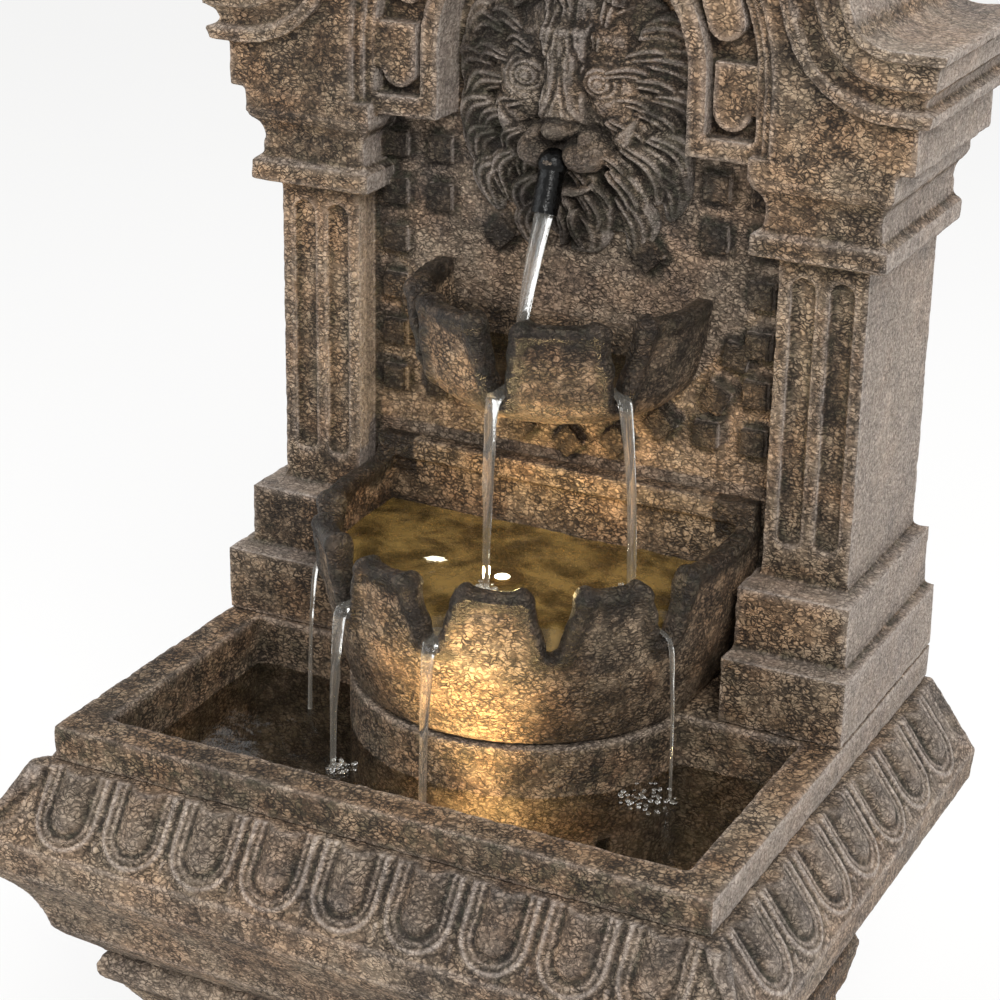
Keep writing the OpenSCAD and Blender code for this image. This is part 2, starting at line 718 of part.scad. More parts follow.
function lion_edge(a) = let (s = sin(a))
    lion_r * (1 + 0.05 * cos(13 * a + 150)) * (s < 0 ? 1 + 0.32 * s * s : 1 + 0.13 * s * s);

function lion_point(a, q) = let (
        r = lion_edge(a) * q, x = r * cos(a), z = r * sin(a),
        rise = lion_h * 0.62 * (1 - pow(q, 7)))
    [x, -niche_d - max(1.5, max(rise * 0.85, face(x, z)) + mane(a, q) * (1 - pow(q, 6))), rim_z + lion_z + z];

lion_rings = 27;
lion_spokes = 104;

module lion_mask() color(dark_stone) placed() difference() {
    n = lion_spokes;
    top = [for (k = [1 : lion_rings]) for (j = [0 : n - 1]) lion_point(360 * j / n, k / lion_rings)];
    back = [for (j = [0 : n - 1]) let (p = top[(lion_rings - 1) * n + j]) [p[0], -niche_d, p[2]]];
    points = concat([lion_point(0, 0)], top, back, [[0, -niche_d, rim_z + lion_z]]);
    last = len(points) - 1;
    polyhedron(points = points, faces = concat(
        [for (j = [0 : n - 1]) [0, 1 + (j + 1) % n, 1 + j]],
        [for (k = [0 : lion_rings - 1]) for (j = [0 : n - 1]) let (a = 1 + k * n, b = (j + 1) % n)
            each [[a + j, a + n + b, a + n + j], [a + j, a + b, a + n + b]]],
        [for (j = [0 : n - 1]) [last, 1 + lion_rings * n + j, 1 + lion_rings * n + (j + 1) % n]]));
    translate([0, 0, hose_top]) rotate([90, 0, 0]) cylinder(h = niche_d + 60, r = spout_r + seat_gap, $fn = 48);
}

// Spout and riser

spout_out = 36;
spout_back = 10;
spout_l = 32;
spout_lean = 22;
water_r = hose_bore - 1.6;

// The spout is a straight tube with a ball at its front, from which the lip points steeply down
module spout_lip(r, length) {
    translate([0, -niche_d - spout_out, hose_top]) rotate([-spout_lean, 0, 0]) translate([0, 0, -length])
        cylinder(h = length, r = r);
}

module spout_nozzle() color(black_plastic) placed() difference() {
    union() {
        translate([0, -hose_end + spout_back + 4, hose_top]) rotate([90, 0, 0]) cylinder(h = 16, r = hose_bore);
        translate([0, -hose_end, hose_top]) rotate([90, 0, 0])
            cylinder(h = niche_d - hose_end + spout_out, r = spout_r);
        translate([0, -niche_d - spout_out, hose_top]) sphere(spout_r + 1.5);
        spout_lip(spout_r, spout_l);
    }
    translate([0, -hose_end + spout_back + 5, hose_top]) rotate([90, 0, 0])
        cylinder(h = niche_d - hose_end + spout_out + spout_back + 5, r = water_r);
    spout_lip(water_r + 0.7, spout_l + 1);
}

module spout_locknut() color(black_plastic) placed() translate([0, -niche_d + niche_t, hose_top]) rotate([-90, 0, 0])
    difference() {
        cylinder(h = 6, r = spout_r + 5, $fn = 6);
        translate([0, 0, -1]) cylinder(h = 8, r = spout_r + run_gap);
    }

module hose_path(r) {
    translate([0, -pump_y, hose_low]) cylinder(h = hose_top - hose_bend - hose_low, r = r);
    translate([0, -pump_y - hose_bend, hose_top - hose_bend]) rotate([0, 0, 90]) rotate([90, 0, 0])
        rotate_extrude(angle = 90) translate([hose_bend, 0]) circle(r);
    translate([0, -pump_y - hose_bend, hose_top]) rotate([90, 0, 0])
        cylinder(h = hose_end - pump_y - hose_bend, r = r);
}

module riser_hose() color("#8c9698") placed() difference() {
    hose_path(hose_r);
    hose_path(hose_bore);
}

module clamp_ring() difference() {
    union() {
        cylinder(h = 7, r = hose_r + 1.2);
        translate([hose_r - 1, -4, 0]) cube([8, 8, 7]);
    }
    translate([0, 0, -1]) cylinder(h = 9, r = hose_r + run_gap);
}

module hose_clamps() color("silver") placed() {
    translate([0, -pump_y, hose_low + 5]) clamp_ring();
    translate([0, -hose_end + 9, hose_top]) rotate([90, 0, 0]) clamp_ring();
}

// Pump: its shaft lies along X, the motor is at the right and the inlet at the left

module along(x, length, r, side = 1) {
    translate([x, -pump_y, pump_axis]) rotate([0, 90, 0]) cylinder(h = length, r = r);
}

module pump_housing() color(black_plastic) placed() difference() {
    union() {
        slab(pump_x, motor_x, pump_y - pump_w / 2, pump_y + pump_w / 2, pump_z, outlet_z - 4);
        slab(pump_x + 4, motor_x - 4, pump_y - pump_w / 2 + 4, pump_y + pump_w / 2 - 4, outlet_z - 5, outlet_z);
        for (i = [0 : 4]) slab(pump_x + whirl_l + 6 + i * 6, pump_x + whirl_l + 8 + i * 6,
            pump_y - pump_w / 2 - 1.5, pump_y + pump_w / 2 + 1.5, pump_z + 6, outlet_z - 10);
    }
    along(pump_x - 1, whirl_l + 1, vane_r + 2);
    along(pump_x, pump_l - 5, rotor_r + 1);
    along(pump_x, pump_l - 2, axle_r);
    translate([0, -pump_y, pump_axis + vane_r - 2]) cylinder(h = pump_h, r = 4.5, $fn = 32);
    translate([0, -pump_y, outlet_z - 6]) cylinder(h = 7, r = 8);
    for (x = [pump_x + 9, motor_x - 9]) for (d = [-1, 1])
        translate([x, -pump_y + d * (pump_w / 2 - 10), pump_z - 1]) cylinder(h = 5, r = 2.5, $fn = 32);
    translate([motor_x - 3, -pump_y, pump_z + 10]) rotate([0, 90, 0]) cylinder(h = 4, r = pump_lead_d / 2 + 0.2, $fn = 32);
}

module pump_outlet() color(black_plastic) placed() translate([0, -pump_y, outlet_z]) difference() {
    union() {
        translate([0, 0, -6]) cylinder(h = 7, r = 8);
        cylinder(h = 3, r = 10.5);
        cylinder(h = outlet_l, r = stub_r);
        for (z = [10, 17]) translate([0, 0, z]) cylinder(h = 5, r1 = hose_bore, r2 = stub_r);
    }
    translate([0, 0, -7]) cylinder(h = outlet_l + 8, r = 4.2);
}

cover_wall = 2.5;
boss_l = 5;

module pump_cover() color(black_plastic) placed() {
    x1 = pump_x - cover_l;
    difference() {
        union() {
            slab(x1, pump_x, pump_y - pump_w / 2, pump_y + pump_w / 2, pump_z, outlet_z - 4);
            along(pump_x - 1, 3, vane_r + 2 - seat_gap);
            for (d = [-1, 1]) slab(x1 - 4, x1 + 1, pump_y + d * 14.2 - 1.5, pump_y + d * 14.2 + 1.5, pump_z + 8, outlet_z - 12);
            for (d = [-1, 1]) slab(x1 - 4, x1 - 2.8, pump_y + d * 12.8 - 2.4, pump_y + d * 12.8 + 2.4, pump_z + 8, outlet_z - 12);
        }
        slab(x1 + cover_wall, pump_x - 3, pump_y - pump_w / 2 + cover_wall, pump_y + pump_w / 2 - cover_wall,
             pump_z + cover_wall, outlet_z - 4 - cover_wall);
        along(pump_x - 1, 4, vane_r - 2);
        along(pump_x - 4, 4, 7.5);
        for (i = [-1 : 1]) slab(x1 - 1, x1 + cover_wall + 1, pump_y - 8, pump_y + 8, pump_axis - 5 + i * 12, pump_axis + 1 + i * 12);
        for (i = [-2 : 2]) for (d = [-1, 1]) slab(x1 - 1, x1 + cover_wall + 1,
            pump_y + d * 21 - 3, pump_y + d * 21 + 3, pump_axis - 2.2 + i * 8, pump_axis + 1.8 + i * 8);
    }
    difference() {
        union() {
            along(pump_x - 3, boss_l - 2.5, 3.5);
            for (a = [0, 120, 240]) translate([pump_x - 3, -pump_y, pump_axis]) rotate([a, 0, 0])
                translate([0, -1.2, 0]) cube([2.5, 2.4, 9]);
        }
        along(pump_x - 1.5 - 1, boss_l, axle_r + run_gap);
    }
}

slider_l = 34;
module flow_slider() color(black_plastic) placed() {
    x1 = pump_x - cover_l;
    difference() {
        union() {
            slab(x1 - 2.5, x1 - 0.3, pump_y - 12.3, pump_y + 12.3, pump_axis - 20, pump_axis - 20 + slider_l);
            slab(x1 - 6, x1 - 2, pump_y - 6, pump_y + 6, pump_axis - 19, pump_axis - 16);
        }
        for (i = [-1 : 1]) slab(x1 - 3, x1 + 1, pump_y - 8, pump_y + 8, pump_axis - 5 + i * 12, pump_axis + 1 + i * 12);
    }
}

vanes = 6;
module impeller() color("#3a4a5c") placed() difference() {
    union() {
        along(pump_x + whirl_l + 1, pump_l - whirl_l - 8, rotor_r);
        along(pump_x + 3, whirl_l, 4);
        along(pump_x + whirl_l - 4, 2, vane_r);
        for (i = [0 : vanes - 1]) translate([pump_x + 3, -pump_y, pump_axis]) rotate([i * 360 / vanes, 0, 0])
            translate([0, -0.9, 0]) cube([whirl_l - 6, 1.8, vane_r - 0.5]);
    }
    along(pump_x, pump_l, axle_r + run_gap);
}

module impeller_shaft() color("#e8e6e0") placed() along(pump_x - 2.5, pump_l + 0.5, axle_r);

module suction_cups() color("#4c5052") placed()
    for (x = [pump_x + 9, motor_x - 9]) for (d = [-1, 1])
        translate([x, -pump_y + d * (pump_w / 2 - 10), floor_z]) {
            cylinder(h = 3, r1 = 8, r2 = 4, $fn = 32);
            cylinder(h = cup_foot + 4, r = 2.5, $fn = 32);
        }

// Lamps: a potted housing with a ledge for the board and a clear lens on top

module lamp_housing(r, h) difference() {
    cylinder(h = h, r = r);
    translate([0, 0, h - 10]) cylinder(h = 11, r = r - 2);
    translate([0, 0, 8]) cylinder(h = h, r = r - 4);
}

module lamp_board(r, h, count) {
    translate([0, 0, h - 10]) cylinder(h = 1.6, r = r - 2 - seat_gap);
    for (i = [0 : count - 1]) rotate([0, 0, i * 360 / count]) translate([r * 0.42 - 1.8, -1.8, h - 9])
        cube([3.6, 3.6, 2.2]);
}

module lamp_lens(r, h) {
    translate([0, 0, h]) cylinder(h = lens_t, r = r);
    translate([0, 0, h - 4]) difference() {
        cylinder(h = 4.5, r = r - 2 - seat_gap);
        translate([0, 0, -1]) cylinder(h = 5, r = r - 4);
    }
}

module at_bowl_lamp() placed() translate([0, -bowl_lamp_y, bowl_lamp_z]) children();
module at_pool_lamp() placed() translate([pool_lamp_x, -pool_lamp_y, floor_z]) rotate([0, 0, pool_lamp_a]) children();

module bowl_lamp_housing() color(black_plastic) at_bowl_lamp() difference() {
    lamp_housing(bowl_lamp_r, bowl_lamp_h);
    translate([0, 0, -1]) cylinder(h = 5, r = lamp_lead_d / 2 + 0.2, $fn = 32);
}
module bowl_lamp_board() color("#e9e4c8") at_bowl_lamp() lamp_board(bowl_lamp_r, bowl_lamp_h, 3);
module bowl_lamp_lens() color("#f6e7b4") at_bowl_lamp() lamp_lens(bowl_lamp_r, bowl_lamp_h);

module bowl_lamp_grommet() color(black_plastic) placed() translate([0, -bowl_lamp_y, rim_z + bowl_floor - 12]) difference() {
    union() {
        cylinder(h = 12, r = 5, $fn = 32);
        translate([0, 0, -2]) cylinder(h = 2, r = 8, $fn = 32);
    }
    translate([0, 0, -3]) cylinder(h = 16, r = lamp_lead_d / 2 + 0.2, $fn = 32);
}

module pool_lamp_housing() color(black_plastic) at_pool_lamp() difference() {
    lamp_housing(pool_lamp_r, pool_lamp_h);
    translate([0, pool_lamp_r + 1, 5]) rotate([90, 0, 0]) cylinder(h = 4, r = lamp_lead_d / 2 + 0.2, $fn = 32);
}
module pool_lamp_board() color("#e9e4c8") at_pool_lamp() lamp_board(pool_lamp_r, pool_lamp_h, 4);
module pool_lamp_lens() color("#f6e7b4") at_pool_lamp() lamp_lens(pool_lamp_r, pool_lamp_h);

// Leads

function unit(v) = v / norm(v);
function turned(t, i, s, out) = i == len(t) ? out
    : let (n = unit(s - (s * t[i]) * t[i])) turned(t, i + 1, n, concat(out, [n]));
function blend(a, b, c, d, u) = 0.5 * (2 * b + u * (c - a) + u * u * (2 * a - 5 * b + 4 * c - d)
    + u * u * u * (3 * b - a - 3 * c + d));
function smooth(p, n) = let (e = len(p) - 1) concat(
    [for (i = [0 : e - 1]) for (k = [0 : n - 1])
        blend(p[max(i - 1, 0)], p[i], p[i + 1], p[min(i + 2, e)], k / n)],
    [p[e]]);

// A lead of diameter d along a list of points
module lead(route, d, steps, sides = 8) {
    c = smooth(route, steps);
    m = len(c) - 1;
    t = [for (i = [0 : m]) unit(c[min(i + 1, m)] - c[max(i - 1, 0)])];
    s = turned(t, 0, abs(t[0][2]) > 0.7 ? [1, 0, 0] : [0, 0, 1], []);
    ring = [for (i = [0 : m]) for (j = [0 : sides - 1]) let (w = 360 * j / sides)
        c[i] + d / 2 * (cos(w) * s[i] + sin(w) * cross(t[i], s[i]))];
    polyhedron(points = ring, faces = concat(
        [[for (j = [0 : sides - 1]) j]],
        [for (i = [0 : m - 1]) for (j = [0 : sides - 1]) let (a = i * sides, b = (j + 1) % sides)
            each [[a + j, a + sides + b, a + b], [a + j, a + sides + j, a + sides + b]]],
        [[for (j = [0 : sides - 1]) m * sides + sides - 1 - j]]));
}

splice_low = splice_z - splice_h / 2;
splice_in = 6;
lead_y = skin_t + splice_d / 2;
lead_xs = [splice_x - 14, splice_x - 5, splice_x + 4];

module splice_box() color(black_plastic) placed() difference() {
    slab(splice_x - splice_w / 2, splice_x + splice_w / 2, skin_t, skin_t + splice_d, splice_low, splice_low + splice_h);
    for (i = [0 : 2]) translate([lead_xs[i], -lead_y, splice_low - 1])
        cylinder(h = splice_in + 1, r = (i == 0 ? pump_lead_d : lamp_lead_d) / 2 + 0.2, $fn = 32);
    translate([splice_x + splice_w / 2 - splice_in, -lead_y, splice_z]) rotate([0, 90, 0])
        cylinder(h = splice_in + 1, r = cord_r, $fn = 32);
}

function at(x, d, z) = [x, -d, z];

module pump_lead() color("#17181a") placed() lead([
        at(motor_x - 2.8, pump_y, pump_z + 10), at(motor_x + 8, pump_y, pump_z + 10),
        at(motor_x + 22, 53, pump_z + 12), at(motor_x + 32, 50, floor_z + 34), at(76, 44, rim_z - 44),
        at(78, 38, rim_z - 12), at(82, 31, rim_z + 10), at(lead_xs[0] - 8, 24, rim_z + 22),
        at(lead_xs[0], lead_y + 1, splice_low - 4), at(lead_xs[0], lead_y, splice_low),
        at(lead_xs[0], lead_y, splice_low + splice_in - 0.2)
    ], pump_lead_d, 3, 10);

module pool_lamp_lead() color("#17181a") placed() {
    s = sin(pool_lamp_a);
    c = cos(pool_lamp_a);
    from = pool_lamp_at - pool_lamp_r + 2.8;
    lead([
        at(from * s, bowl_c + from * c, floor_z + 5), at((from - 10) * s, bowl_c + (from - 10) * c, floor_z + 5),
        at(drum_r * s, bowl_c + drum_r * c, floor_z + 5), at((chamber_r - 8) * s, bowl_c + (chamber_r - 8) * c, floor_z + 4),
        at(34, 222, floor_z + 3), at(56, 180, floor_z + 3), at(76, 138, floor_z + 3), at(82, 100, floor_z + 6),
        at(84, 70, floor_z + 22), at(85, 48, rim_z - 44), at(86, 38, rim_z - 12), at(91, 30, rim_z + 10),
        at(lead_xs[1] - 8, 24, rim_z + 22), at(lead_xs[1], lead_y + 1, splice_low - 4),
        at(lead_xs[1], lead_y, splice_low), at(lead_xs[1], lead_y, splice_low + splice_in - 0.2)
    ], lamp_lead_d, 3);
}

module bowl_lamp_lead() color("#17181a") placed() lead([
        at(0, bowl_lamp_y, bowl_lamp_z + 3.8), at(0, bowl_lamp_y, bowl_lamp_z - 6),
        at(0, bowl_lamp_y, bowl_lamp_z - 18), at(2, bowl_lamp_y - 4, rim_z + 8), at(10, 190, rim_z - 4),
        at(34, 166, rim_z - 9), at(60, 138, rim_z - 10), at(78, 116, rim_z - 9), at(86, 98, rim_z - 6),
        at(91, 86, rim_z + 8), at(98, 68, rim_z + 16), at(110, 44, rim_z + 21), at(lead_xs[2] - 1, 26, splice_low - 8),
        at(lead_xs[2], lead_y, splice_low), at(lead_xs[2], lead_y, splice_low + splice_in - 0.2)
    ], lamp_lead_d, 3);

module cord_grommet() color(black_plastic) placed() translate([grommet_x, 0, grommet_z]) rotate([90, 0, 0])
    difference() {
        union() {
            translate([0, 0, 1]) cylinder(h = 2, r = grommet_r + 4 - seat_gap);
            translate([0, 0, 1]) cylinder(h = skin_t + 1, r = grommet_r);
            translate([0, 0, skin_t]) cylinder(h = 2, r = grommet_r + 3);
        }
        translate([0, 0, 0]) cylinder(h = skin_t + 3, r = cord_r, $fn = 32);
    }

// Rear door

module access_door() color(stone) placed() difference() {
    union() {
        slab(hinge_x, hatch_w / 2 - hatch_gap, 0, skin_t, hatch_low + hatch_gap, hatch_low + hatch_h - hatch_gap);
        translate([hinge_x, -hinge_y, hatch_low + hatch_gap]) cylinder(h = hatch_h - 2 * hatch_gap, r = hinge_y);
    }
    for (z = [hatch_low, hatch_low + hatch_h - hinge_l - hatch_gap])
        translate([hinge_x, -hinge_y, z]) cylinder(h = hinge_l + hatch_gap, r = hinge_r + run_gap, $fn = 32);
    translate([knob_x, 1, knob_z]) rotate([90, 0, 0]) cylinder(h = skin_t + 2, r = knob_shaft + run_gap);
    translate([knob_x, 1, knob_z]) rotate([90, 0, 0]) cylinder(h = knob_dish + 1, r = knob_r + 4);
}

module door_pins() color("silver") placed()
    for (z = [hatch_low - hinge_l + seat_gap, hatch_low + hatch_gap - hinge_l + hatch_h - 2 * hatch_gap])
        translate([hinge_x, -hinge_y, z]) cylinder(h = 2 * hinge_l - seat_gap, r = hinge_r, $fn = 32);

module door_knob() color(black_plastic) placed() translate([knob_x, 0, knob_z]) rotate([90, 0, 0]) {
    translate([0, 0, 3]) cylinder(h = knob_dish - 3 - 0.1, r = knob_r);
    translate([-knob_r + 1, -2.5, 0.4]) cube([2 * knob_r - 2, 5, 3]);
    cylinder(h = skin_t + 0.3, r = 2);
    translate([0, 0, 3]) cylinder(h = skin_t - 2.7, r = knob_shaft);
    translate([-2.5, -2.5, skin_t]) cube([5, 5, 4.3]);
}

cam_l = 27;
module door_cam() color("silver") placed() translate([knob_x, 0, knob_z]) rotate([90, 0, 0])
    translate([0, 0, skin_t + 0.3]) difference() {
        union() {
            cylinder(h = 3, r = 6.5);
            translate([-6.5, -cam_l, 0]) cube([13, cam_l, 3]);
        }
        translate([-2.5, -2.5, -1]) cube([5, 5, 5]);
    }

pedestal_casting();
base_casting();
basin_tub();
wall_casting();
rear_panel();
middle_bowl();
upper_bowl();
lion_mask();
spout_nozzle();
spout_locknut();
riser_hose();
hose_clamps();
pump_housing();
pump_outlet();
pump_cover();
flow_slider();
impeller();
impeller_shaft();
suction_cups();
bowl_lamp_housing();
bowl_lamp_lens();
bowl_lamp_board();
bowl_lamp_grommet();
pool_lamp_housing();
pool_lamp_lens();
pool_lamp_board();
splice_box();
pump_lead();
bowl_lamp_lead();
pool_lamp_lead();
cord_grommet();
access_door();
door_pins();
door_knob();
door_cam();
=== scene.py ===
import json
import math

import bmesh
import bpy
import numpy as np
from mathutils import Matrix, Vector


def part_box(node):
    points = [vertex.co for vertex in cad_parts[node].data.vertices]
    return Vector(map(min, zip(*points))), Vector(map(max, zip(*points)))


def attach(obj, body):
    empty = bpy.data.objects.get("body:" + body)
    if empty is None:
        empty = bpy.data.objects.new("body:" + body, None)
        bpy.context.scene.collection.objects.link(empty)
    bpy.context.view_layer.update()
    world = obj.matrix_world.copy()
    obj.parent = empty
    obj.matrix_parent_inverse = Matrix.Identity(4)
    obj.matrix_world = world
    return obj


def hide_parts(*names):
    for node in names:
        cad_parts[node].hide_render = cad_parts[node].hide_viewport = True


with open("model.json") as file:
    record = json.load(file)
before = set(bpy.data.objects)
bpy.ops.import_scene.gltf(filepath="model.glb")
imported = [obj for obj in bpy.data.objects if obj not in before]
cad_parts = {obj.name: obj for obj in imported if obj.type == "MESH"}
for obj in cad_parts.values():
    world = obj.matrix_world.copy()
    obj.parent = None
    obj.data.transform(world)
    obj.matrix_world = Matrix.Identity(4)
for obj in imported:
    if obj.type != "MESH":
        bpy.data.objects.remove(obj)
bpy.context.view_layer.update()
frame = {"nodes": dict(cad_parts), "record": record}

# Places, from the frame and from the part's own measures.
# Lengths are in millimetres until they become mesh points.
MM = 0.001
BODY = "fountain"


def node_box(node):
    """The lowest and highest corner of a CAD node, in millimetres."""
    low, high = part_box(node)
    return np.array(low) / MM, np.array(high) / MM


back_y = node_box("wall_casting")[1][1]
tub_low, tub_high = node_box("basin_tub")
rim_z = tub_high[2]
rim_front = back_y - tub_low[1]
rim_half = tub_high[0]
rim_wide = 27
pool_half = rim_half - rim_wide
pool_front = rim_front - rim_wide
pool_back = 178
pool_level = rim_z - 35
bowl_low, bowl_high = node_box("middle_bowl")
bowl_r = bowl_high[0]
bowl_c = back_y - bowl_low[1] - bowl_r
bowl_rim = rim_z + 112
bowl_spill = rim_z + 72
bowl_level = rim_z + 84
cup_low, cup_high = node_box("upper_bowl")
cup_r = cup_high[0]
cup_c = back_y - cup_low[1] - cup_r
cup_rim = cup_high[2]
cup_spill = rim_z + 206
cup_level = rim_z + 210
niche_d = 108
niche_half = 150
niche_top = rim_z + 352
arch_z = rim_z + 400
stud_face = niche_d + 3.2
stud_rise = 0.9
lion_low, lion_high = node_box("lion_mask")
lion_z = rim_z + 380
spout_low = node_box("spout_nozzle")[0]
drum_r = bowl_r - 20
bowl_notches = (-64, -32, 0, 32, 64)
cup_notches = (-49, 0, 49)


def place(x, depth, z):
    """A point from its distance right of the middle, in front of the flat back and above the ground."""
    return Vector((x * MM, (back_y - depth) * MM, z * MM))


# Noise and mesh tools

def lattice(i, j, k, seed):
    """A fixed random number from 0 to 1 for each corner of a grid."""
    n = (i * 374761393 + j * 668265263 + k * 1440662683 + seed * 974634777) & 0xFFFFFFFF
    n = ((n ^ (n >> 13)) * 1274126177) & 0xFFFFFFFF
    return ((n ^ (n >> 16)) & 0xFFFF) / 65535.0


def noise(p, size, seed):
    """Smooth noise from -1 to 1 at points p, with lumps of that size, both in millimetres."""
    q = p / size + 500.0
    cell = np.floor(q).astype(np.int64)
    f = q - cell
    f = f * f * (3 - 2 * f)
    total = np.zeros(len(p))
    for a in (0, 1):
        for b in (0, 1):
            for c in (0, 1):
                share = (f[:, 0] if a else 1 - f[:, 0]) * (f[:, 1] if b else 1 - f[:, 1])
                share = share * (f[:, 2] if c else 1 - f[:, 2])
                total += share * lattice(cell[:, 0] + a, cell[:, 1] + b, cell[:, 2] + c, seed)
    return 2 * total - 1


def rough_noise(p, size, seed):
    """Noise summed over finer and finer lumps."""
    total, share = 0, 1.0
    for octave in range(3):
        total = total + share * noise(p, size / 2 ** octave, seed + 17 * octave)
        share *= 0.5
    return total / (2 - 2 * share)


def clouding(p, size, seed):
    """Rough noise from 0 to 1."""
    return 0.5 + 0.5 * rough_noise(p, size, seed)


def step(x, low, high):
    """Rises smoothly from 0 at low to 1 at high."""
    t = np.clip((x - low) / (high - low), 0, 1)
    return t * t * (3 - 2 * t)


def hump(x, width, centre=0):
    """A smooth hump with height 1 at its centre."""
    return np.exp(-((x - centre) / width) ** 2)


def link(name, mesh):
    piece = bpy.data.objects.new(name, mesh)
    bpy.context.scene.collection.objects.link(piece)
    return piece


def mesh_of(name, points, faces):
    """A smooth-shaded mesh object from points in millimetres, given in the frame's axes."""
    mesh = bpy.data.meshes.new(name)
    mesh.from_pydata((np.asarray(points) * MM).tolist(), [], [list(map(int, f)) for f in faces])
    mesh.validate()
    mesh.polygons.foreach_set("use_smooth", np.ones(len(mesh.polygons), bool))
    return link(name, mesh)


def grid_faces(across, along):
    """The faces of a grid of points that was counted row by row."""
    row, column = np.divmod(np.arange((along - 1) * (across - 1)), across - 1)
    a = row * across + column
    return np.stack([a, a + 1, a + across + 1, a + across], 1)


class Skin:
    """The points of a mesh, ready to be worn, shaped and painted."""

    def __init__(self, piece):
        self.piece = piece
        mesh = piece.data
        self.count = len(mesh.vertices)
        self.co = np.zeros(self.count * 3, np.float32)
        mesh.vertices.foreach_get("co", self.co)
        self.co = self.co.reshape(-1, 3).astype(float) / MM
        edges = np.zeros(len(mesh.edges) * 2, np.int32)
        mesh.edges.foreach_get("vertices", edges)
        self.edges = edges.reshape(-1, 2)
        a, b = self.edges.T
        self.around = np.bincount(a, minlength=self.count) + np.bincount(b, minlength=self.count)
        self.around = np.maximum(self.around, 1)[:, None]

    def spread(self, values):
        """The mean of each point's neighbours."""
        a, b = self.edges.T
        total = np.stack([np.bincount(a, values[b, k], self.count) + np.bincount(b, values[a, k], self.count)
                          for k in range(values.shape[1])], 1)
        return total / self.around

    def relaxed(self, values, times, share=0.6):
        for _ in range(times):
            values = values + share * (self.spread(values) - values)
        return values

    def normals(self):
        self.write()
        normal = np.zeros(self.count * 3, np.float32)
        self.piece.data.vertex_normals.foreach_get("vector", normal)
        return normal.reshape(-1, 3).astype(float)

    def write(self):
        self.piece.data.vertices.foreach_set("co", (self.co * MM).astype(np.float32).ravel())
        self.piece.data.update()

    def paint(self, **layers):
        for name, values in layers.items():
            layer = self.piece.data.attributes.new(name, "FLOAT", "POINT")
            layer.data.foreach_set("value", np.clip(values, 0, 1).astype(np.float32))

    def places(self):
        """Distance right of the middle, in front of the back and above the ground, for each point."""
        return self.co[:, 0], back_y - self.co[:, 1], self.co[:, 2]


def even_copy(name, node, voxel):
    """A new piece with the form of a CAD node and small, even faces."""
    form = bmesh.new()
    form.from_mesh(frame["nodes"][node].data)
    bmesh.ops.remove_doubles(form, verts=form.verts, dist=0.01 * MM)
    rough = bpy.data.meshes.new(name + "_rough")
    form.to_mesh(rough)
    form.free()
    piece = link(name, rough)
    even = piece.modifiers.new("even", "REMESH")
    even.mode = "VOXEL"
    even.voxel_size = voxel * 1.0 * MM
    shown = piece.evaluated_get(bpy.context.evaluated_depsgraph_get())
    even_mesh = bpy.data.meshes.new_from_object(shown)
    piece.modifiers.clear()
    piece.data = even_mesh
    bpy.data.meshes.remove(rough)
    piece.data.polygons.foreach_set("use_smooth", np.ones(len(piece.data.polygons), bool))
    return piece


def wear(skin, seed, lumps=0.3, chips=0.9, edge=0.7, rounds=1):
    """Rounds the edges and sinks the surface in lumps and chips, as in a cast and weathered stone.
    Returns how hollow each point lies, from -1 on an edge to 1 in a corner."""
    skin.co = skin.relaxed(skin.co, rounds)
    broad = skin.relaxed(skin.co, 18)
    normal = skin.normals()
    hollow = ((broad - skin.co) * normal).sum(1)
    ridge = np.clip(-hollow, 0, 1.2)
    p = skin.co
    sink = lumps * clouding(p, 16, seed) + 1.6 * lumps * (0.5 + 0.5 * noise(p, 3.6, seed + 3))
    sink = sink + chips * np.clip(rough_noise(p, 12, seed + 5) - 0.34, 0, 1)
    sink = sink + edge * ridge * np.clip(0.15 + 0.9 * noise(p, 7, seed + 9), 0, 1)
    skin.co = p - normal * sink[:, None]
    return np.clip(hollow / 0.7, -1, 1)


def corners_and_edges(hollow):
    """How deep in a corner and how far out on an edge each point lies, both from 0 to 1."""
    return np.clip(hollow, 0, 1), np.clip(-hollow, 0, 1)


# Materials

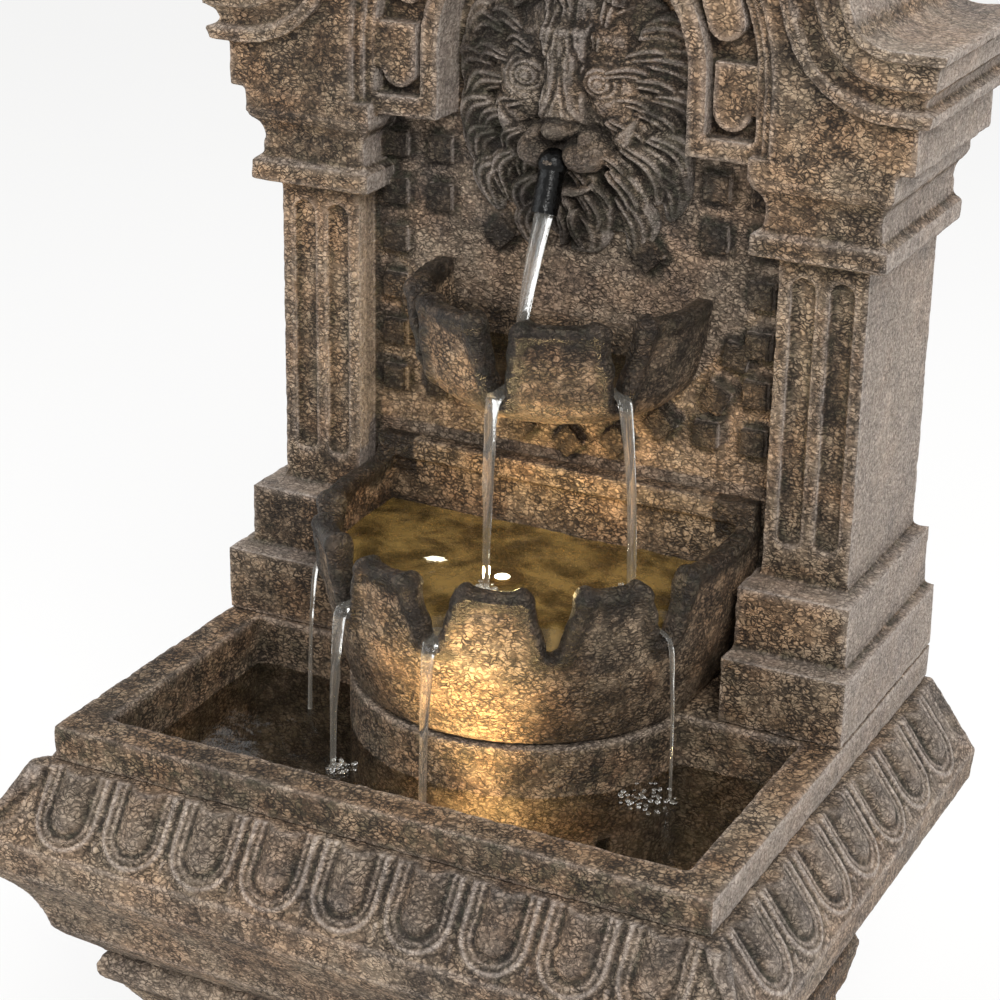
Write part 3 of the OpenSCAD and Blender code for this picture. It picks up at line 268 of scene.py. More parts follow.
class Paint:
    """A node material, built one node at a time."""

    def __init__(self, name):
        self.material = bpy.data.materials.new(name)
        self.material.use_nodes = True
        self.tree = self.material.node_tree
        self.tree.nodes.clear()
        self.out = self.tree.nodes.new("ShaderNodeOutputMaterial")
        self.where = self.node("TexCoord").outputs["Object"]

    def node(self, kind, inputs=None, **settings):
        made = self.tree.nodes.new("ShaderNode" + kind)
        for key, value in settings.items():
            setattr(made, key, value)
        for key, value in (inputs or {}).items():
            if isinstance(value, bpy.types.NodeSocket):
                self.tree.links.new(value, made.inputs[key])
            else:
                made.inputs[key].default_value = value
        return made

    def noise(self, scale, detail=4.0, rough=0.6, where=None):
        made = self.node("TexNoise", {"Vector": where or self.where, "Scale": scale, "Detail": detail,
                                      "Roughness": rough})
        return made.outputs["Fac"]

    def cells(self, scale, where):
        """Distance from the edges of irregular cells."""
        made = self.node("TexVoronoi", {"Vector": where, "Scale": scale}, feature="DISTANCE_TO_EDGE")
        return made.outputs["Distance"]

    def band(self, value, low, high, to_low=0.0, to_high=1.0):
        made = self.node("MapRange", {"Value": value, "From Min": low, "From Max": high,
                                      "To Min": to_low, "To Max": to_high}, interpolation_type="SMOOTHSTEP")
        return made.outputs["Result"]

    def math(self, operation, a, b=0.0, c=0.0):
        made = self.node("Math", {0: a, 1: b, 2: c}, operation=operation, use_clamp=operation != "SUBTRACT")
        return made.outputs[0]

    def times(self, a, b):
        return self.math("MULTIPLY", a, b)

    def vector(self, operation, a, b):
        return self.node("VectorMath", {0: a, 1: b}, operation=operation).outputs[0]

    def mix(self, share, a, b, blend="MIX"):
        made = self.node("Mix", {0: share, 6: a, 7: b}, data_type="RGBA", blend_type=blend)
        return made.outputs[2]

    def ramp(self, value, stops):
        made = self.node("ValToRGB", {"Fac": value})
        band = made.color_ramp
        while len(band.elements) < len(stops):
            band.elements.new(0.5)
        for element, (at, colour) in zip(band.elements, stops):
            element.position = at
            element.color = (*colour, 1)
        return made.outputs["Color"]

    def layer(self, name):
        return self.node("Attribute", attribute_name=name, attribute_type="GEOMETRY").outputs["Fac"]

    def warped(self, scale, by):
        """The place, pushed about by noise, so that cells lose their even look."""
        push = self.node("TexNoise", {"Vector": self.where, "Scale": scale, "Detail": 2.0})
        centred = self.vector("SUBTRACT", push.outputs["Color"], (0.5, 0.5, 0.5))
        scaled = self.node("VectorMath", {0: centred, "Scale": by}, operation="SCALE")
        return self.vector("ADD", self.where, scaled.outputs[0])

    def bump(self, height, distance, strength):
        made = self.node("Bump", {"Height": height, "Distance": distance, "Strength": strength})
        return made.outputs["Normal"]

    def finish(self, shader):
        self.tree.links.new(shader, self.out.inputs["Surface"])
        return self.material


def stone(name, dark=(0.040, 0.027, 0.018), mid=(0.235, 0.155, 0.098), light=(0.62, 0.45, 0.305), cell=3.3):
    """Cast resin like crackled stone: tan grains over brown, dark in cracks and hollows, greenish where damp.
    The dark in hollows is a dark wash with painted shade, and the pale layer holds worn edges and pale paint
    with painted light.
    A grain is about cell millimetres wide."""
    paint = Paint(name)
    cells_per_metre = 1 / (cell * MM)
    warped = paint.warped(cells_per_metre * 0.60, 1.9 * cell * MM)
    where = paint.vector("MULTIPLY", warped, (0.72, 0.72, 1.35))
    uneven = paint.band(paint.noise(cells_per_metre * 0.45, 4.0), 0.36, 0.62, 0.06, 0.40)
    crack = paint.band(paint.cells(cells_per_metre, where), 0.0, uneven)
    wide = paint.band(paint.cells(cells_per_metre * 0.36, where), 0.0, 0.045)
    faint = paint.band(paint.noise(cells_per_metre * 0.16, 3.0), 0.40, 0.60)
    crack = paint.math("MAXIMUM", crack, paint.times(faint, 0.35))
    grain = paint.noise(cells_per_metre * 1.25, 5.0, 0.80)
    patches = paint.noise(10.0, 6.0, 0.62)
    blotch = paint.noise(52.0, 5.0, 0.70)

    tone = paint.math("MULTIPLY_ADD", patches, 0.30, paint.times(blotch, 0.32))
    tone = paint.math("MULTIPLY_ADD", grain, 0.38, tone)
    half = tuple(0.45 * a + 0.55 * b for a, b in zip(mid, light))
    base = paint.ramp(tone, [(0.405, dark), (0.465, mid), (0.515, half), (0.580, light)])
    cool_grey, warm_tan = (0.84, 0.88, 0.90, 1), (1.08, 0.97, 0.86, 1)
    warm = paint.mix(paint.band(paint.noise(17.0, 3.0), 0.42, 0.62), cool_grey, warm_tan)
    base = paint.mix(0.85, base, warm, "MULTIPLY")

    # Worn and lit: the pale layer mixes towards tan, for worn edges and pale paint, and for painted light on
    # lit sides and tops and painted highlights on edges.
    worn_and_lit_brown, worn_and_lit_tan = (0.36, 0.305, 0.275, 1), (0.72, 0.63, 0.57, 1)
    worn_and_lit = paint.mix(paint.band(grain, 0.38, 0.60), worn_and_lit_brown, worn_and_lit_tan)
    pale = paint.layer("pale")
    base = paint.mix(paint.times(pale, 0.85), base, worn_and_lit)

    # Dark wash and painted shade: the dark layer, real dark paint with shade painted in corners and hollows,
    # mixes towards near black.
    wash_and_shade_black, wash_and_shade_brown = (0.014, 0.012, 0.011, 1), (0.070, 0.060, 0.052, 1)
    wash_and_shade = paint.mix(paint.band(grain, 0.42, 0.62), wash_and_shade_black, wash_and_shade_brown)
    shade = paint.times(paint.layer("dark"), paint.band(blotch, 0.28, 0.66, 1.0, 0.70))
    base = paint.mix(shade, base, wash_and_shade)

    moss_green = (0.062, 0.070, 0.042, 1)
    moss = paint.times(paint.layer("moss"), paint.band(paint.noise(75.0, 5.0, 0.7), 0.44, 0.60))
    base = paint.mix(paint.times(moss, 0.62), base, moss_green)

    crack_brown = (0.018, 0.013, 0.010, 1)
    lines = paint.math("SUBTRACT", 1.0, paint.times(pale, 0.75))
    for gap, strength in ((crack, 0.95), (wide, 0.80)):
        share = paint.times(paint.math("SUBTRACT", 1.0, gap), paint.times(lines, strength))
        base = paint.mix(share, base, crack_brown)

    wet_brown = (0.34, 0.29, 0.24, 1)
    wet = paint.layer("wet")
    base = paint.mix(paint.times(wet, 0.55), base, wet_brown, "MULTIPLY")
    dull = paint.band(grain, 0.3, 0.7, 0.88, 0.60)
    gloss = paint.mix(wet, dull, paint.band(grain, 0.3, 0.7, 0.40, 0.14))
    height = paint.math("MULTIPLY_ADD", crack, 0.42, paint.times(grain, 0.70))
    height = paint.math("MULTIPLY_ADD", wide, 0.14, height)
    shader = paint.node("BsdfPrincipled", {"Base Color": base, "Roughness": gloss, "Specular IOR Level": 0.26,
                                           "Normal": paint.bump(height, 2.2 * MM, 1.0)})
    return paint.finish(shader.outputs["BSDF"])


def plastic(name, colour, rough=0.45, grain=900.0, depth=0.05, metallic=0.0, shine=0.5):
    """Moulded plastic, rubber or metal: one colour with faint clouding and a grain, deep in millimetres."""
    paint = Paint(name)
    cloud = paint.noise(60.0, 4.0)
    dusty = tuple(min(1, 0.85 * c + 0.012) for c in colour)
    base = paint.mix(paint.band(cloud, 0.45, 0.75, 0.0, 0.55), (*colour, 1), (*dusty, 1))
    fine = paint.noise(grain, 2.0)
    gloss = paint.band(paint.noise(180.0, 3.0), 0.3, 0.7, max(rough - 0.1, 0.04), rough + 0.12)
    shader = paint.node("BsdfPrincipled", {"Base Color": base, "Roughness": gloss, "Metallic": metallic,
                                           "Specular IOR Level": shine,
                                           "Normal": paint.bump(fine, depth * MM, 0.5)})
    return paint.finish(shader.outputs["BSDF"])


def clear(name, tint, rough, ior, glow=None):
    """Water or clear plastic. A glow is a colour and a strength."""
    paint = Paint(name)
    ripple = paint.noise(160.0, 3.0)
    inputs = {"Base Color": (*tint, 1), "Normal": paint.bump(ripple, 0.5 * MM, 0.6), "Roughness": rough,
              "IOR": ior, "Transmission Weight": 1.0}
    if glow:
        inputs["Emission Color"] = (*glow[0], 1)
        inputs["Emission Strength"] = glow[1]
    return paint.finish(paint.node("BsdfPrincipled", inputs).outputs["BSDF"])


def water_face(name, tint, cover, murk_and_glow_colour=(0.20, 0.15, 0.07)):
    """Still water: it lets light through to the stone below and mirrors more at a low angle."""
    paint = Paint(name)
    ripple = paint.noise(95.0, 4.0)
    slow = paint.noise(28.0, 2.0)
    height = paint.math("MULTIPLY_ADD", slow, 0.6, paint.times(ripple, 0.4))
    normal = paint.bump(height, 3.0 * MM, 0.7)
    through = paint.node("BsdfTransparent", {"Color": (*tint, 1)})
    swirl = paint.noise(30.0, 6.0, 0.6, paint.warped(14.0, 0.04))
    deep = tuple(0.4 * c for c in murk_and_glow_colour)
    colour = paint.mix(paint.band(swirl, 0.40, 0.62), (*deep, 1), (*murk_and_glow_colour, 1))
    murk_and_glow = paint.node("BsdfDiffuse", {"Color": colour, "Normal": normal})
    share = paint.band(swirl, 0.3, 0.7, cover * 0.6, cover)
    body = paint.node("MixShader", {0: share, 1: through.outputs[0], 2: murk_and_glow.outputs[0]})
    mirror = paint.node("BsdfGlossy", {"Color": (1, 1, 1, 1), "Roughness": 0.06, "Normal": normal})
    edge = paint.node("Fresnel", {"IOR": 1.33, "Normal": normal})
    both = paint.node("MixShader", {0: edge.outputs[0], 1: body.outputs[0], 2: mirror.outputs[0]})
    return paint.finish(both.outputs[0])


def dress(piece, material):
    piece.data.materials.clear()
    piece.data.materials.append(material)


# Castings

def put_over(skin, material, node):
    """Shows a worn piece in place of its CAD node."""
    skin.write()
    dress(skin.piece, material)
    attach(skin.piece, BODY)
    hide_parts(node)


def notch_nearness(x, depth, centre, angles, half_width):
    """How near each point is to a notch, from 0 to 1, by its angle round the bowl."""
    angle = np.degrees(np.arctan2(x, depth - centre))
    nearest = np.min([np.abs(angle - a) for a in angles], 0)
    return 1 - step(nearest, half_width * 0.6, half_width)


def make_wall(material):
    skin = Skin(even_copy("weathered_wall", "wall_casting", 1.4))
    hollow = wear(skin, 11)
    corner, edge = corners_and_edges(hollow)
    normal = skin.normals()
    x, d, z = skin.places()
    cloud = clouding(skin.co, 30, 71)
    niche = (np.abs(x) < niche_half) & (d > niche_d - 3) & (z < niche_top) & (d < niche_d + 12)
    studs = niche & (d > stud_face)
    skin.co[:, 1] -= stud_rise * studs * step(-normal[:, 1], 0.5, 0.9)
    # The dark layer: painted shade with a dark wash in corners, stronger in the niche, and the stud faces'
    # own dark paint.
    shade = (0.55 + 0.40 * niche) * corner + 0.30 * step(cloud, 0.5, 0.9)
    shade = np.where(studs, 1.0, shade - 0.25 * (niche & (hollow < 0.25)))
    channel = (np.hypot(x, z - arch_z) < 130) & (d > niche_d + 8) & (hollow > -0.2) & (d < 135)
    shade = np.where(channel, shade + 0.25, shade)
    side = step(normal[:, 0], 0.75, 0.95)
    top = step(normal[:, 2], 0.6, 0.95)
    low = 1 - step(z, rim_z + 10, rim_z + 150)
    splash = low * (np.abs(x) < 160) * (d > 90)
    # Right sides less dark and paler: pale paint with painted light; tops paler: painted light; edges paler:
    # wear with a painted highlight.
    skin.paint(dark=shade * (1 - 0.6 * side),
               pale=0.85 * side + 0.40 * edge * ~studs + 0.55 * top + 0.22 * (niche & ~studs),
               moss=0.25 + 0.5 * corner * (1 - side) + 0.3 * splash,
               wet=0.5 * splash * step(cloud, 0.3, 0.6))
    put_over(skin, material, "wall_casting")


def make_basin(material):
    skin = Skin(even_copy("weathered_basin", "basin_tub", 1.7))
    corner, edge = corners_and_edges(wear(skin, 23, rounds=2))
    normal = skin.normals()
    x, d, z = skin.places()
    cloud = clouding(skin.co, 34, 77)
    inside = (z < rim_z - 3) & (np.abs(x) < pool_half + 2) & (d < pool_front + 2)
    under = step(pool_level + 14 - z, 0, 18) * inside
    side = step(np.abs(normal[:, 0]), 0.75, 0.95) * (np.abs(x) > rim_half - 6)
    front = step(-normal[:, 1], 0.7, 0.95) * (d > rim_front - 8)
    # Painted shade with a dark wash in corners.
    shade = 0.5 * corner + 0.25 * step(cloud, 0.55, 0.95) + 0.30 * front * step(cloud, 0.3, 0.7)
    # Painted shade with a dark wash inside the pool, deeper on its left.
    shade = shade + inside * (0.04 + 0.10 * (x < -40)) * step(cloud, 0.2, 0.8)
    # Outer sides less dark and paler: pale paint with painted light; edges paler: wear with a painted
    # highlight.
    skin.paint(dark=shade * (1 - 0.9 * side), pale=0.8 * side + 0.40 * edge + 0.10 * under,
               moss=0.3 + 0.6 * front + 0.3 * inside, wet=np.maximum(0.12 * under, 0.2 * inside))
    put_over(skin, material, "basin_tub")


def make_base(material):
    """The casting with the egg-and-dart ledge, painted along its eggs, their beads and the grooves."""
    skin = Skin(even_copy("weathered_base", "base_casting", 1.35))
    corner, edge = corners_and_edges(wear(skin, 31, lumps=0.25))
    normal = skin.normals()
    x, d, z = skin.places()
    cloud = clouding(skin.co, 30, 81)
    side = step(normal[:, 0], 0.5, 0.8)
    egg_pitch = 50
    slope_length = 1.2435
    egg_start = 30.3
    out_x, out_d = np.abs(x) - rim_half, d - rim_front
    ledge = (z < rim_z - 24.5) & (z > rim_z - 70) & (np.maximum(out_x, out_d) > 1)
    along = np.where(out_d > out_x, x, d - (rim_front + 19) / 2)
    aside = np.abs(along - egg_pitch * np.round(along / egg_pitch))
    down = (rim_z - 24 - z) * slope_length - egg_start
    ring = np.hypot(aside, np.maximum(down, 0))
    egg = ledge * (1 - step(ring, 12.0, 13.8))
    bead = ledge * (hump(ring, 1.5, 15.6) + 0.7 * hump(ring, 2.2, 20.6))
    groove = ledge * (hump(ring, 0.7, 13.6) + hump(ring, 0.6, 17.7) + step(ring, 23.0, 24.4) * (down < 4))
    # Painted shade with a dark wash in corners and grooves; right sides paler with pale paint and painted
    # light; edges paler: wear with a painted highlight.
    skin.paint(dark=0.75 * corner + 0.22 * step(cloud, 0.5, 0.9) + 0.34 * egg + 0.6 * groove,
               pale=0.3 * side + 0.45 * edge + 0.12 + 0.35 * bead, moss=0.2 + 0.5 * corner,
               wet=np.zeros(skin.count))
    put_over(skin, material, "base_casting")


def make_pedestal(material):
    skin = Skin(even_copy("weathered_pedestal", "pedestal_casting", 2.4))
    corner, edge = corners_and_edges(wear(skin, 43, lumps=0.5))
    z = skin.places()[2]
    cloud = clouding(skin.co, 34, 85)
    damp = 1 - step(z, 0, 120)
    # Painted shade with a dark wash in corners; edges paler: wear with a painted highlight.
    skin.paint(dark=0.6 * corner + 0.25 * step(cloud, 0.5, 0.9), pale=0.3 * edge, moss=0.2 + 0.5 * damp,
               wet=np.zeros(skin.count))
    put_over(skin, material, "pedestal_casting")


def make_bowl(name, node, material, centre, radius, rim, notches, notch, voxel, seed):
    """A notched bowl with thick worn lips, dark along its rim and its notches.
    The notch is given by its half width at the top and at its bottom, and its depth."""
    skin = Skin(even_copy(name, node, voxel))
    x, d, z = skin.places()
    top, low, deep = notch
    foot = rim - deep
    angle = np.degrees(np.arctan2(x, np.maximum(d - centre, 0.01)))
    aside = np.min([np.abs(angle - a) for a in notches], 0) * math.radians(1) * radius
    rise = np.clip((z - foot) / deep, 0, 1)
    over_foot = aside - low - (top - low) * rise
    under_foot = np.hypot(np.maximum(aside - low, 0), z - foot)
    gap = np.where(z > foot, over_foot, under_foot)
    away = np.hypot(x, np.maximum(d - centre, 0))
    wall = (away > radius - 30) & (d > niche_d + 3) & (z > foot - 16)
    corner, edge = corners_and_edges(wear(skin, seed, lumps=0.45, chips=1.1, edge=0.8, rounds=4))
    swell = (1.6 + 1.4 * noise(skin.co, 8, seed + 4)) * wall * hump(gap, 10)
    swell = swell + 2.2 * hump(gap, 3.6, 4.5) + 1.6 * hump(rim - 5 - z, 4.5)
    skin.co = skin.co + skin.normals() * (swell * wall)[:, None]
    skin.co = skin.relaxed(skin.co, 2)
    cloud = clouding(skin.co, 24, seed + 50)
    inside = (away < radius - 9) & (d > niche_d + 4)
    ragged = 4 * noise(skin.co, 9, seed + 60)
    lip = np.maximum(1 - step(gap + ragged, 7, 14), step(z + ragged, rim - 16, rim - 9)) * wall
    below = 1 - lip
    flank = step(np.abs(angle + 6), 26, 50) * wall * ~inside
    shade = 0.98 * lip + 0.55 * flank * step(cloud, 0.15, 0.6) * below
    # Painted shade with a dark wash in corners.
    shade = shade + 0.30 * step(cloud, 0.4, 0.85) * below + 0.35 * corner
    wet = np.maximum(0.75 * lip, 0.6 * inside * step(rim - 16 - z, 0, 10))
    # Edges paler: wear with a painted highlight.
    skin.paint(dark=shade * (1 - 0.6 * inside * below), pale=0.15 * edge, moss=0.3 + 0.2 * lip, wet=wet)
    put_over(skin, material, node)


# Lion

def blob(u, v, cu, cv, ru, rv, height, turn=0.0):
    """A rounded hill with an oval foot."""
    c, s = math.cos(math.radians(turn)), math.sin(math.radians(turn))
    a = ((u - cu) * c + (v - cv) * s) / ru
    b = (-(u - cu) * s + (v - cv) * c) / rv
    return height * np.sqrt(np.clip(1 - a * a - b * b, 0, 1))


def merge(a, b, soft):
    """The higher of two reliefs, with a soft join."""
    h = np.clip(0.5 + 0.5 * (b - a) / soft, 0, 1)
    return a + (b - a) * h + soft * h * (1 - h)


def away_from(u, v, points):
    """Distance from a line of points."""
    best = np.full(u.shape, 1e9)
    for (au, av), (bu, bv) in zip(points[:-1], points[1:]):
        du, dv = bu - au, bv - av
        t = np.clip(((u - au) * du + (v - av) * dv) / (du * du + dv * dv), 0, 1)
        best = np.minimum(best, np.hypot(u - au - t * du, v - av - t * dv))
    return best


def lock(u, v, cu, cv, length, width, heading, bend, height, strands):
    """One wavy lock of the mane, thick at its root and pointed at its tip, with strands along it."""
    c, s = math.cos(math.radians(heading)), math.sin(math.radians(heading))
    along = ((u - cu) * c + (v - cv) * s) / length
    across = -(u - cu) * s + (v - cv) * c
    across = across - bend * np.sin(math.pi * 1.15 * along)
    half = width * 0.5 * np.sqrt(np.clip(1.02 - np.abs(along * 2 - 0.85) ** 2.4, 0, 1))
    side = across / np.maximum(half, 0.3)
    form = np.sqrt(np.clip(1 - side * side, 0, 1)) * np.clip(1.15 - along, 0, 1)
    line = 1 - 0.17 * (0.5 + 0.5 * np.cos(side * math.pi * strands + 1.2 * np.sin(5 * along)))
    on = (along > 0) & (along < 1) & (np.abs(side) < 1)
    return np.where(on, height * (0.05 + 0.95 * form) * line, 0)


def mane_relief(u, v):
    """The mane: three rings of locks that hang over one another."""
    rng = np.random.default_rng(7)
    polar = np.degrees(np.arctan2(v, u))
    bulge = np.sin(np.radians(polar)) ** 2
    edge = 74 * (1 + 0.05 * np.cos(np.radians(13 * polar + 150)))
    edge = edge * np.where(v < 0, 1 + 0.30 * bulge, 1 + 0.12 * bulge)
    share = np.hypot(u, v) / edge
    relief = 10 * np.sqrt(np.clip(1 - share ** 4, 0, 1))
    rings = ((1.00, 17, 40, 25), (0.82, 15, 43, 23), (0.64, 13, 36, 20))
    for ring, (near, count, size, wide) in enumerate(rings):
        for i in range(count):
            a = 360 * (i + 0.5 * (ring % 2)) / count + rng.uniform(-4, 4)
            right = math.cos(math.radians(a))
            rise = math.sin(math.radians(a))
            reach = near * 70 * (1 + (0.30 if rise < 0 else 0.12) * rise * rise) - 14
            down = -90 if rise < 0.75 else a
            heading = a + 0.42 * ((down - a + 180) % 360 - 180)
            bend = (1 if right > 0 else -1) * rng.uniform(6, 11)
            length = size * rng.uniform(0.9, 1.15)
            width = wide * rng.uniform(0.85, 1.15)
            height = 17 + 5.5 * ring + rng.uniform(-3, 3.5)
            relief = np.maximum(relief, lock(u, v, reach * right, reach * rise, length, width, heading, bend,
                                             height, 3.5))
    return relief


def face_relief(m, v):
    """The face, the same on both sides: m is the distance from its middle line."""
    head = blob(m, v, 0, 6, 50, 60, 24)
    head = merge(head, blob(m, v, 0, 42, 30, 24, 25), 5)
    head = merge(head, blob(m, v, 30, 4, 23, 28, 28), 3)
    brow = away_from(m, v, [(9, 30), (20, 36), (33, 34), (44, 24)])
    head = head + 2.4 * hump(brow, 5.0)
    half = 13.5 + 0.10 * np.clip(8 - v, 0, 40) + 0.14 * np.clip(v - 20, 0, 30)
    bridge = np.where(m < half, 29.0 + 4.5 * np.clip(1 - (m / half) ** 4, 0, 1) - 0.07 * (v - 10), 0)
    bridge = bridge * step(v, -30, -12) * (1 - step(v, 38, 56))
    head = merge(head, bridge, 5)
    head = merge(head, blob(m, v, 40, -20, 16, 20, 25, 20), 4)
    head = merge(head, blob(m, v, 15, -37, 19, 15, 43), 2.5)
    head = merge(head, blob(m, v, 0, -40, 9, 9, 50), 3)
    head = merge(head, blob(m, v, 0, -22, 15, 9, 45) + 1.5 * (m < 12) * (v > -26) * (v < -14), 2.5)
    head = merge(head, blob(m, v, 17, -27, 9, 7, 39), 2)
    head = merge(head, blob(m, v, 9, -63, 16, 11, 28), 3)

    eye = np.hypot((m - 25) / 10.6, (v - 9) / 8.2)
    head = head - 4.5 * np.exp(-((m - 14) / 5) ** 2 - ((v - 8) / 10) ** 2)
    head = np.where(eye < 1.25, np.maximum(head - 1.0, 29.5 - 4.0 * eye ** 2), head)
    head = head + 0.9 * hump(eye, 0.13, 1.05) - 0.9 * hump(eye, 0.08, 0.83)
    head = head + 0.4 * hump(eye, 0.12, 0.60) - 0.8 * hump(eye, 0.08, 0.40)
    head = head - 1.0 * hump(eye, 0.10, 1.32)

    lid = [(9, 14), (15, 22), (26, 25), (37, 21), (43, 12)]
    bag = [(11, 20), (9.5, 6), (13, -9), (22, -22), (33, -24), (45, -12), (51, 4), (50, 18)]
    fork = [(0, 22), (2, 4), (6, -8), (12, -16)]
    frown = [(4, 58), (5, 42), (8, 30), (12, 20)]
    wing = [(1, -46), (1, -33), (7, -31), (15, -27), (21, -20)]
    for line, depth, width in ((lid, 1.4, 1.3), (bag, 2.2, 1.6), (fork, 2.0, 1.5)):
        head = head - depth * hump(away_from(m, v, line), width)
    hairs = 0.5 + 0.5 * np.cos(m * 1.5 + 0.10 * v + 1.5 * np.sin(v * 0.13))
    head = head - 0.6 * hairs * (m < half - 1) * (v > -14)
    for line, depth, width in ((frown, 2.2, 1.6), (wing, 3.0, 1.7)):
        head = head - depth * hump(away_from(m, v, line), width)

    nostril = np.hypot((m - 9) / 4.5, (v + 26) / 2.4)
    head = head - 6 * hump(nostril, 1)
    mouth = away_from(m, v, [(0, -52), (12, -53), (24, -50), (34, -41)])
    head = head - 9 * hump(mouth, 3.0) - 10 * np.exp(-(m / 12) ** 4 - ((v + 55) / 6) ** 4)
    for row in range(3):
        for k in range(4):
            dot = np.hypot(m - 13 - 4.2 * k, v + 36 + 4 * row - 0.6 * k)
            head = head - 1.1 * hump(dot, 1.1)
    return head


def lion_relief(u, v):
    """Height of the lion's head over the niche wall, at a place right of and above the mask's centre."""
    m = np.abs(u)
    relief = mane_relief(u, v)
    head = face_relief(m, v)
    inner = merge(np.zeros_like(u), 60 * (1.06 - np.hypot(m / 48, (v - 2) / np.where(v > 0, 56, 66))), 2)
    relief = np.where((head > relief - 1.5) & (inner > 2), np.maximum(head, relief * 0.2), relief)
    beard = ((0, -66, -90, 3), (-9, -62, -98, -4), (9, -62, -82, 4), (-18, -56, -106, -5), (18, -56, -74, 5),
             (-5, -74, -94, 3), (6, -75, -86, -3))
    for cu, cv, heading, bend in beard:
        relief = np.maximum(relief, lock(u, v, cu, cv, 33, 11, heading, bend, 24, 3))
    return relief


def make_lion(material):
    pitch = 0.85
    half = lion_high[0]
    low, high = lion_low[2] - lion_z, lion_high[2] - lion_z
    us = np.arange(-half, half + pitch, pitch)
    vs = np.arange(low, high + pitch, pitch)
    u, v = (g.ravel() for g in np.meshgrid(us, vs))
    relief = lion_relief(u, v)
    p = np.stack([u, relief, v], 1)
    relief = relief - (0.9 * clouding(p, 8, 91) + 0.5 * noise(p, 3.2, 93)) * (relief > 3)
    keep = relief > 2.0
    quads = grid_faces(len(us), len(vs))
    quads = quads[keep[quads].all(1)]
    front = np.stack([u, back_y - niche_d - relief, lion_z + v], 1)
    behind = np.stack([u, np.full_like(u, back_y - niche_d + 2.5), lion_z + v], 1)
    sides = np.concatenate([quads[:, [0, 1]], quads[:, [1, 2]], quads[:, [2, 3]], quads[:, [3, 0]]])
    key = np.sort(sides, 1)
    _, first, count = np.unique(key, axis=0, return_index=True, return_counts=True)
    border = sides[first[count == 1]]
    total = len(u)
    walls = np.stack([border[:, 1], border[:, 0], border[:, 0] + total, border[:, 1] + total], 1)
    faces = np.concatenate([quads, quads[:, ::-1] + total, walls])
    points = np.concatenate([front, behind])
    used, faces = np.unique(faces, return_inverse=True)
    piece = mesh_of("lion_head", points[used], faces.reshape(-1, 4))
    skin = Skin(piece)
    skin.co = skin.relaxed(skin.co, 1, 0.5)
    broad = skin.relaxed(skin.co, 10)
    normal = skin.normals()
    hollow = ((broad - skin.co) * normal).sum(1) / 0.8
    hollow = np.clip(hollow + ((skin.relaxed(broad, 40) - skin.co) * normal).sum(1) / 3.0, -1, 1)
    corner, edge = corners_and_edges(hollow)
    x, d, z = skin.places()
    mane = step(np.hypot(x / 50, (z - lion_z - 4) / 60), 0.85, 1.15)
    muzzle = np.exp(-((z - lion_z + 30) / 14) ** 2 - (x / 26) ** 2)
    cloud = clouding(skin.co, 22, 95)
    shade = (0.25 + 0.55 * mane) * step(cloud, 0.40, 0.62) + 0.60 * muzzle * step(cloud, 0.25, 0.6)
    # Painted shade with a dark wash in hollows, between the locks and in the folds of the face.
    shade = shade + 1.1 * corner
    # Raised edges paler, away from the muzzle: wear with a painted highlight.
    skin.paint(dark=shade, pale=0.70 * edge * (1 - muzzle), moss=0.25 + 0.45 * mane,
               wet=0.5 * (1 - step(z, lion_z - 70, lion_z - 45)) * (np.abs(x) < 22))
    put_over(skin, material, "lion_mask")


# Water

def water_sheet(name, inside, half, near, far, pitch, height, material):
    """A surface of water over a grid, kept where inside(x, depth) says so."""
    xs = np.arange(-half, half + pitch, pitch)
    ds = np.arange(near, far + pitch, pitch)
    x, d = (g.ravel() for g in np.meshgrid(xs, ds))
    quads = grid_faces(len(xs), len(ds))[:, [0, 3, 2, 1]]
    quads = quads[inside(x, d)[quads].all(1)]
    points = np.stack([x, back_y - d, height(x, d)], 1)
    used, faces = np.unique(quads, return_inverse=True)
    piece = mesh_of(name, points[used], faces.reshape(-1, 4))
    dress(piece, material)
    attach(piece, BODY)


def ripples(x, d, spots):
    """Rings that spread from where streams fall, over small irregular waves."""
    size = 7.0
    p = np.stack([x, d, np.zeros_like(x)], 1)
    wave = 0.7 * noise(p, 15, 5) + 0.35 * noise(p, 6, 6)
    for sx, sd in spots:
        r = np.hypot(x - sx, d - sd)
        wave = wave + 1.6 * np.cos(r / size * 2 * math.pi) * np.exp(-r / 18)
    return wave


def smooth_line(points, count):
    """Places along a smooth line through the points, and how far along each place is, from 0 to 1."""
    points = np.array(points, float)
    t = np.linspace(0, len(points) - 1, count)
    i = np.clip(t.astype(int), 0, len(points) - 2)
    f = (t - i)[:, None]
    before = points[np.maximum(i - 1, 0)]
    a, b = points[i], points[i + 1]
    after = points[np.minimum(i + 2, len(points) - 1)]
    line = 0.5 * (2 * a + f * (b - before) + f ** 2 * (2 * before - 5 * a + 4 * b - after)
                  + f ** 3 * (3 * a - before - 3 * b + after))
    return line, np.linspace(0, 1, count)


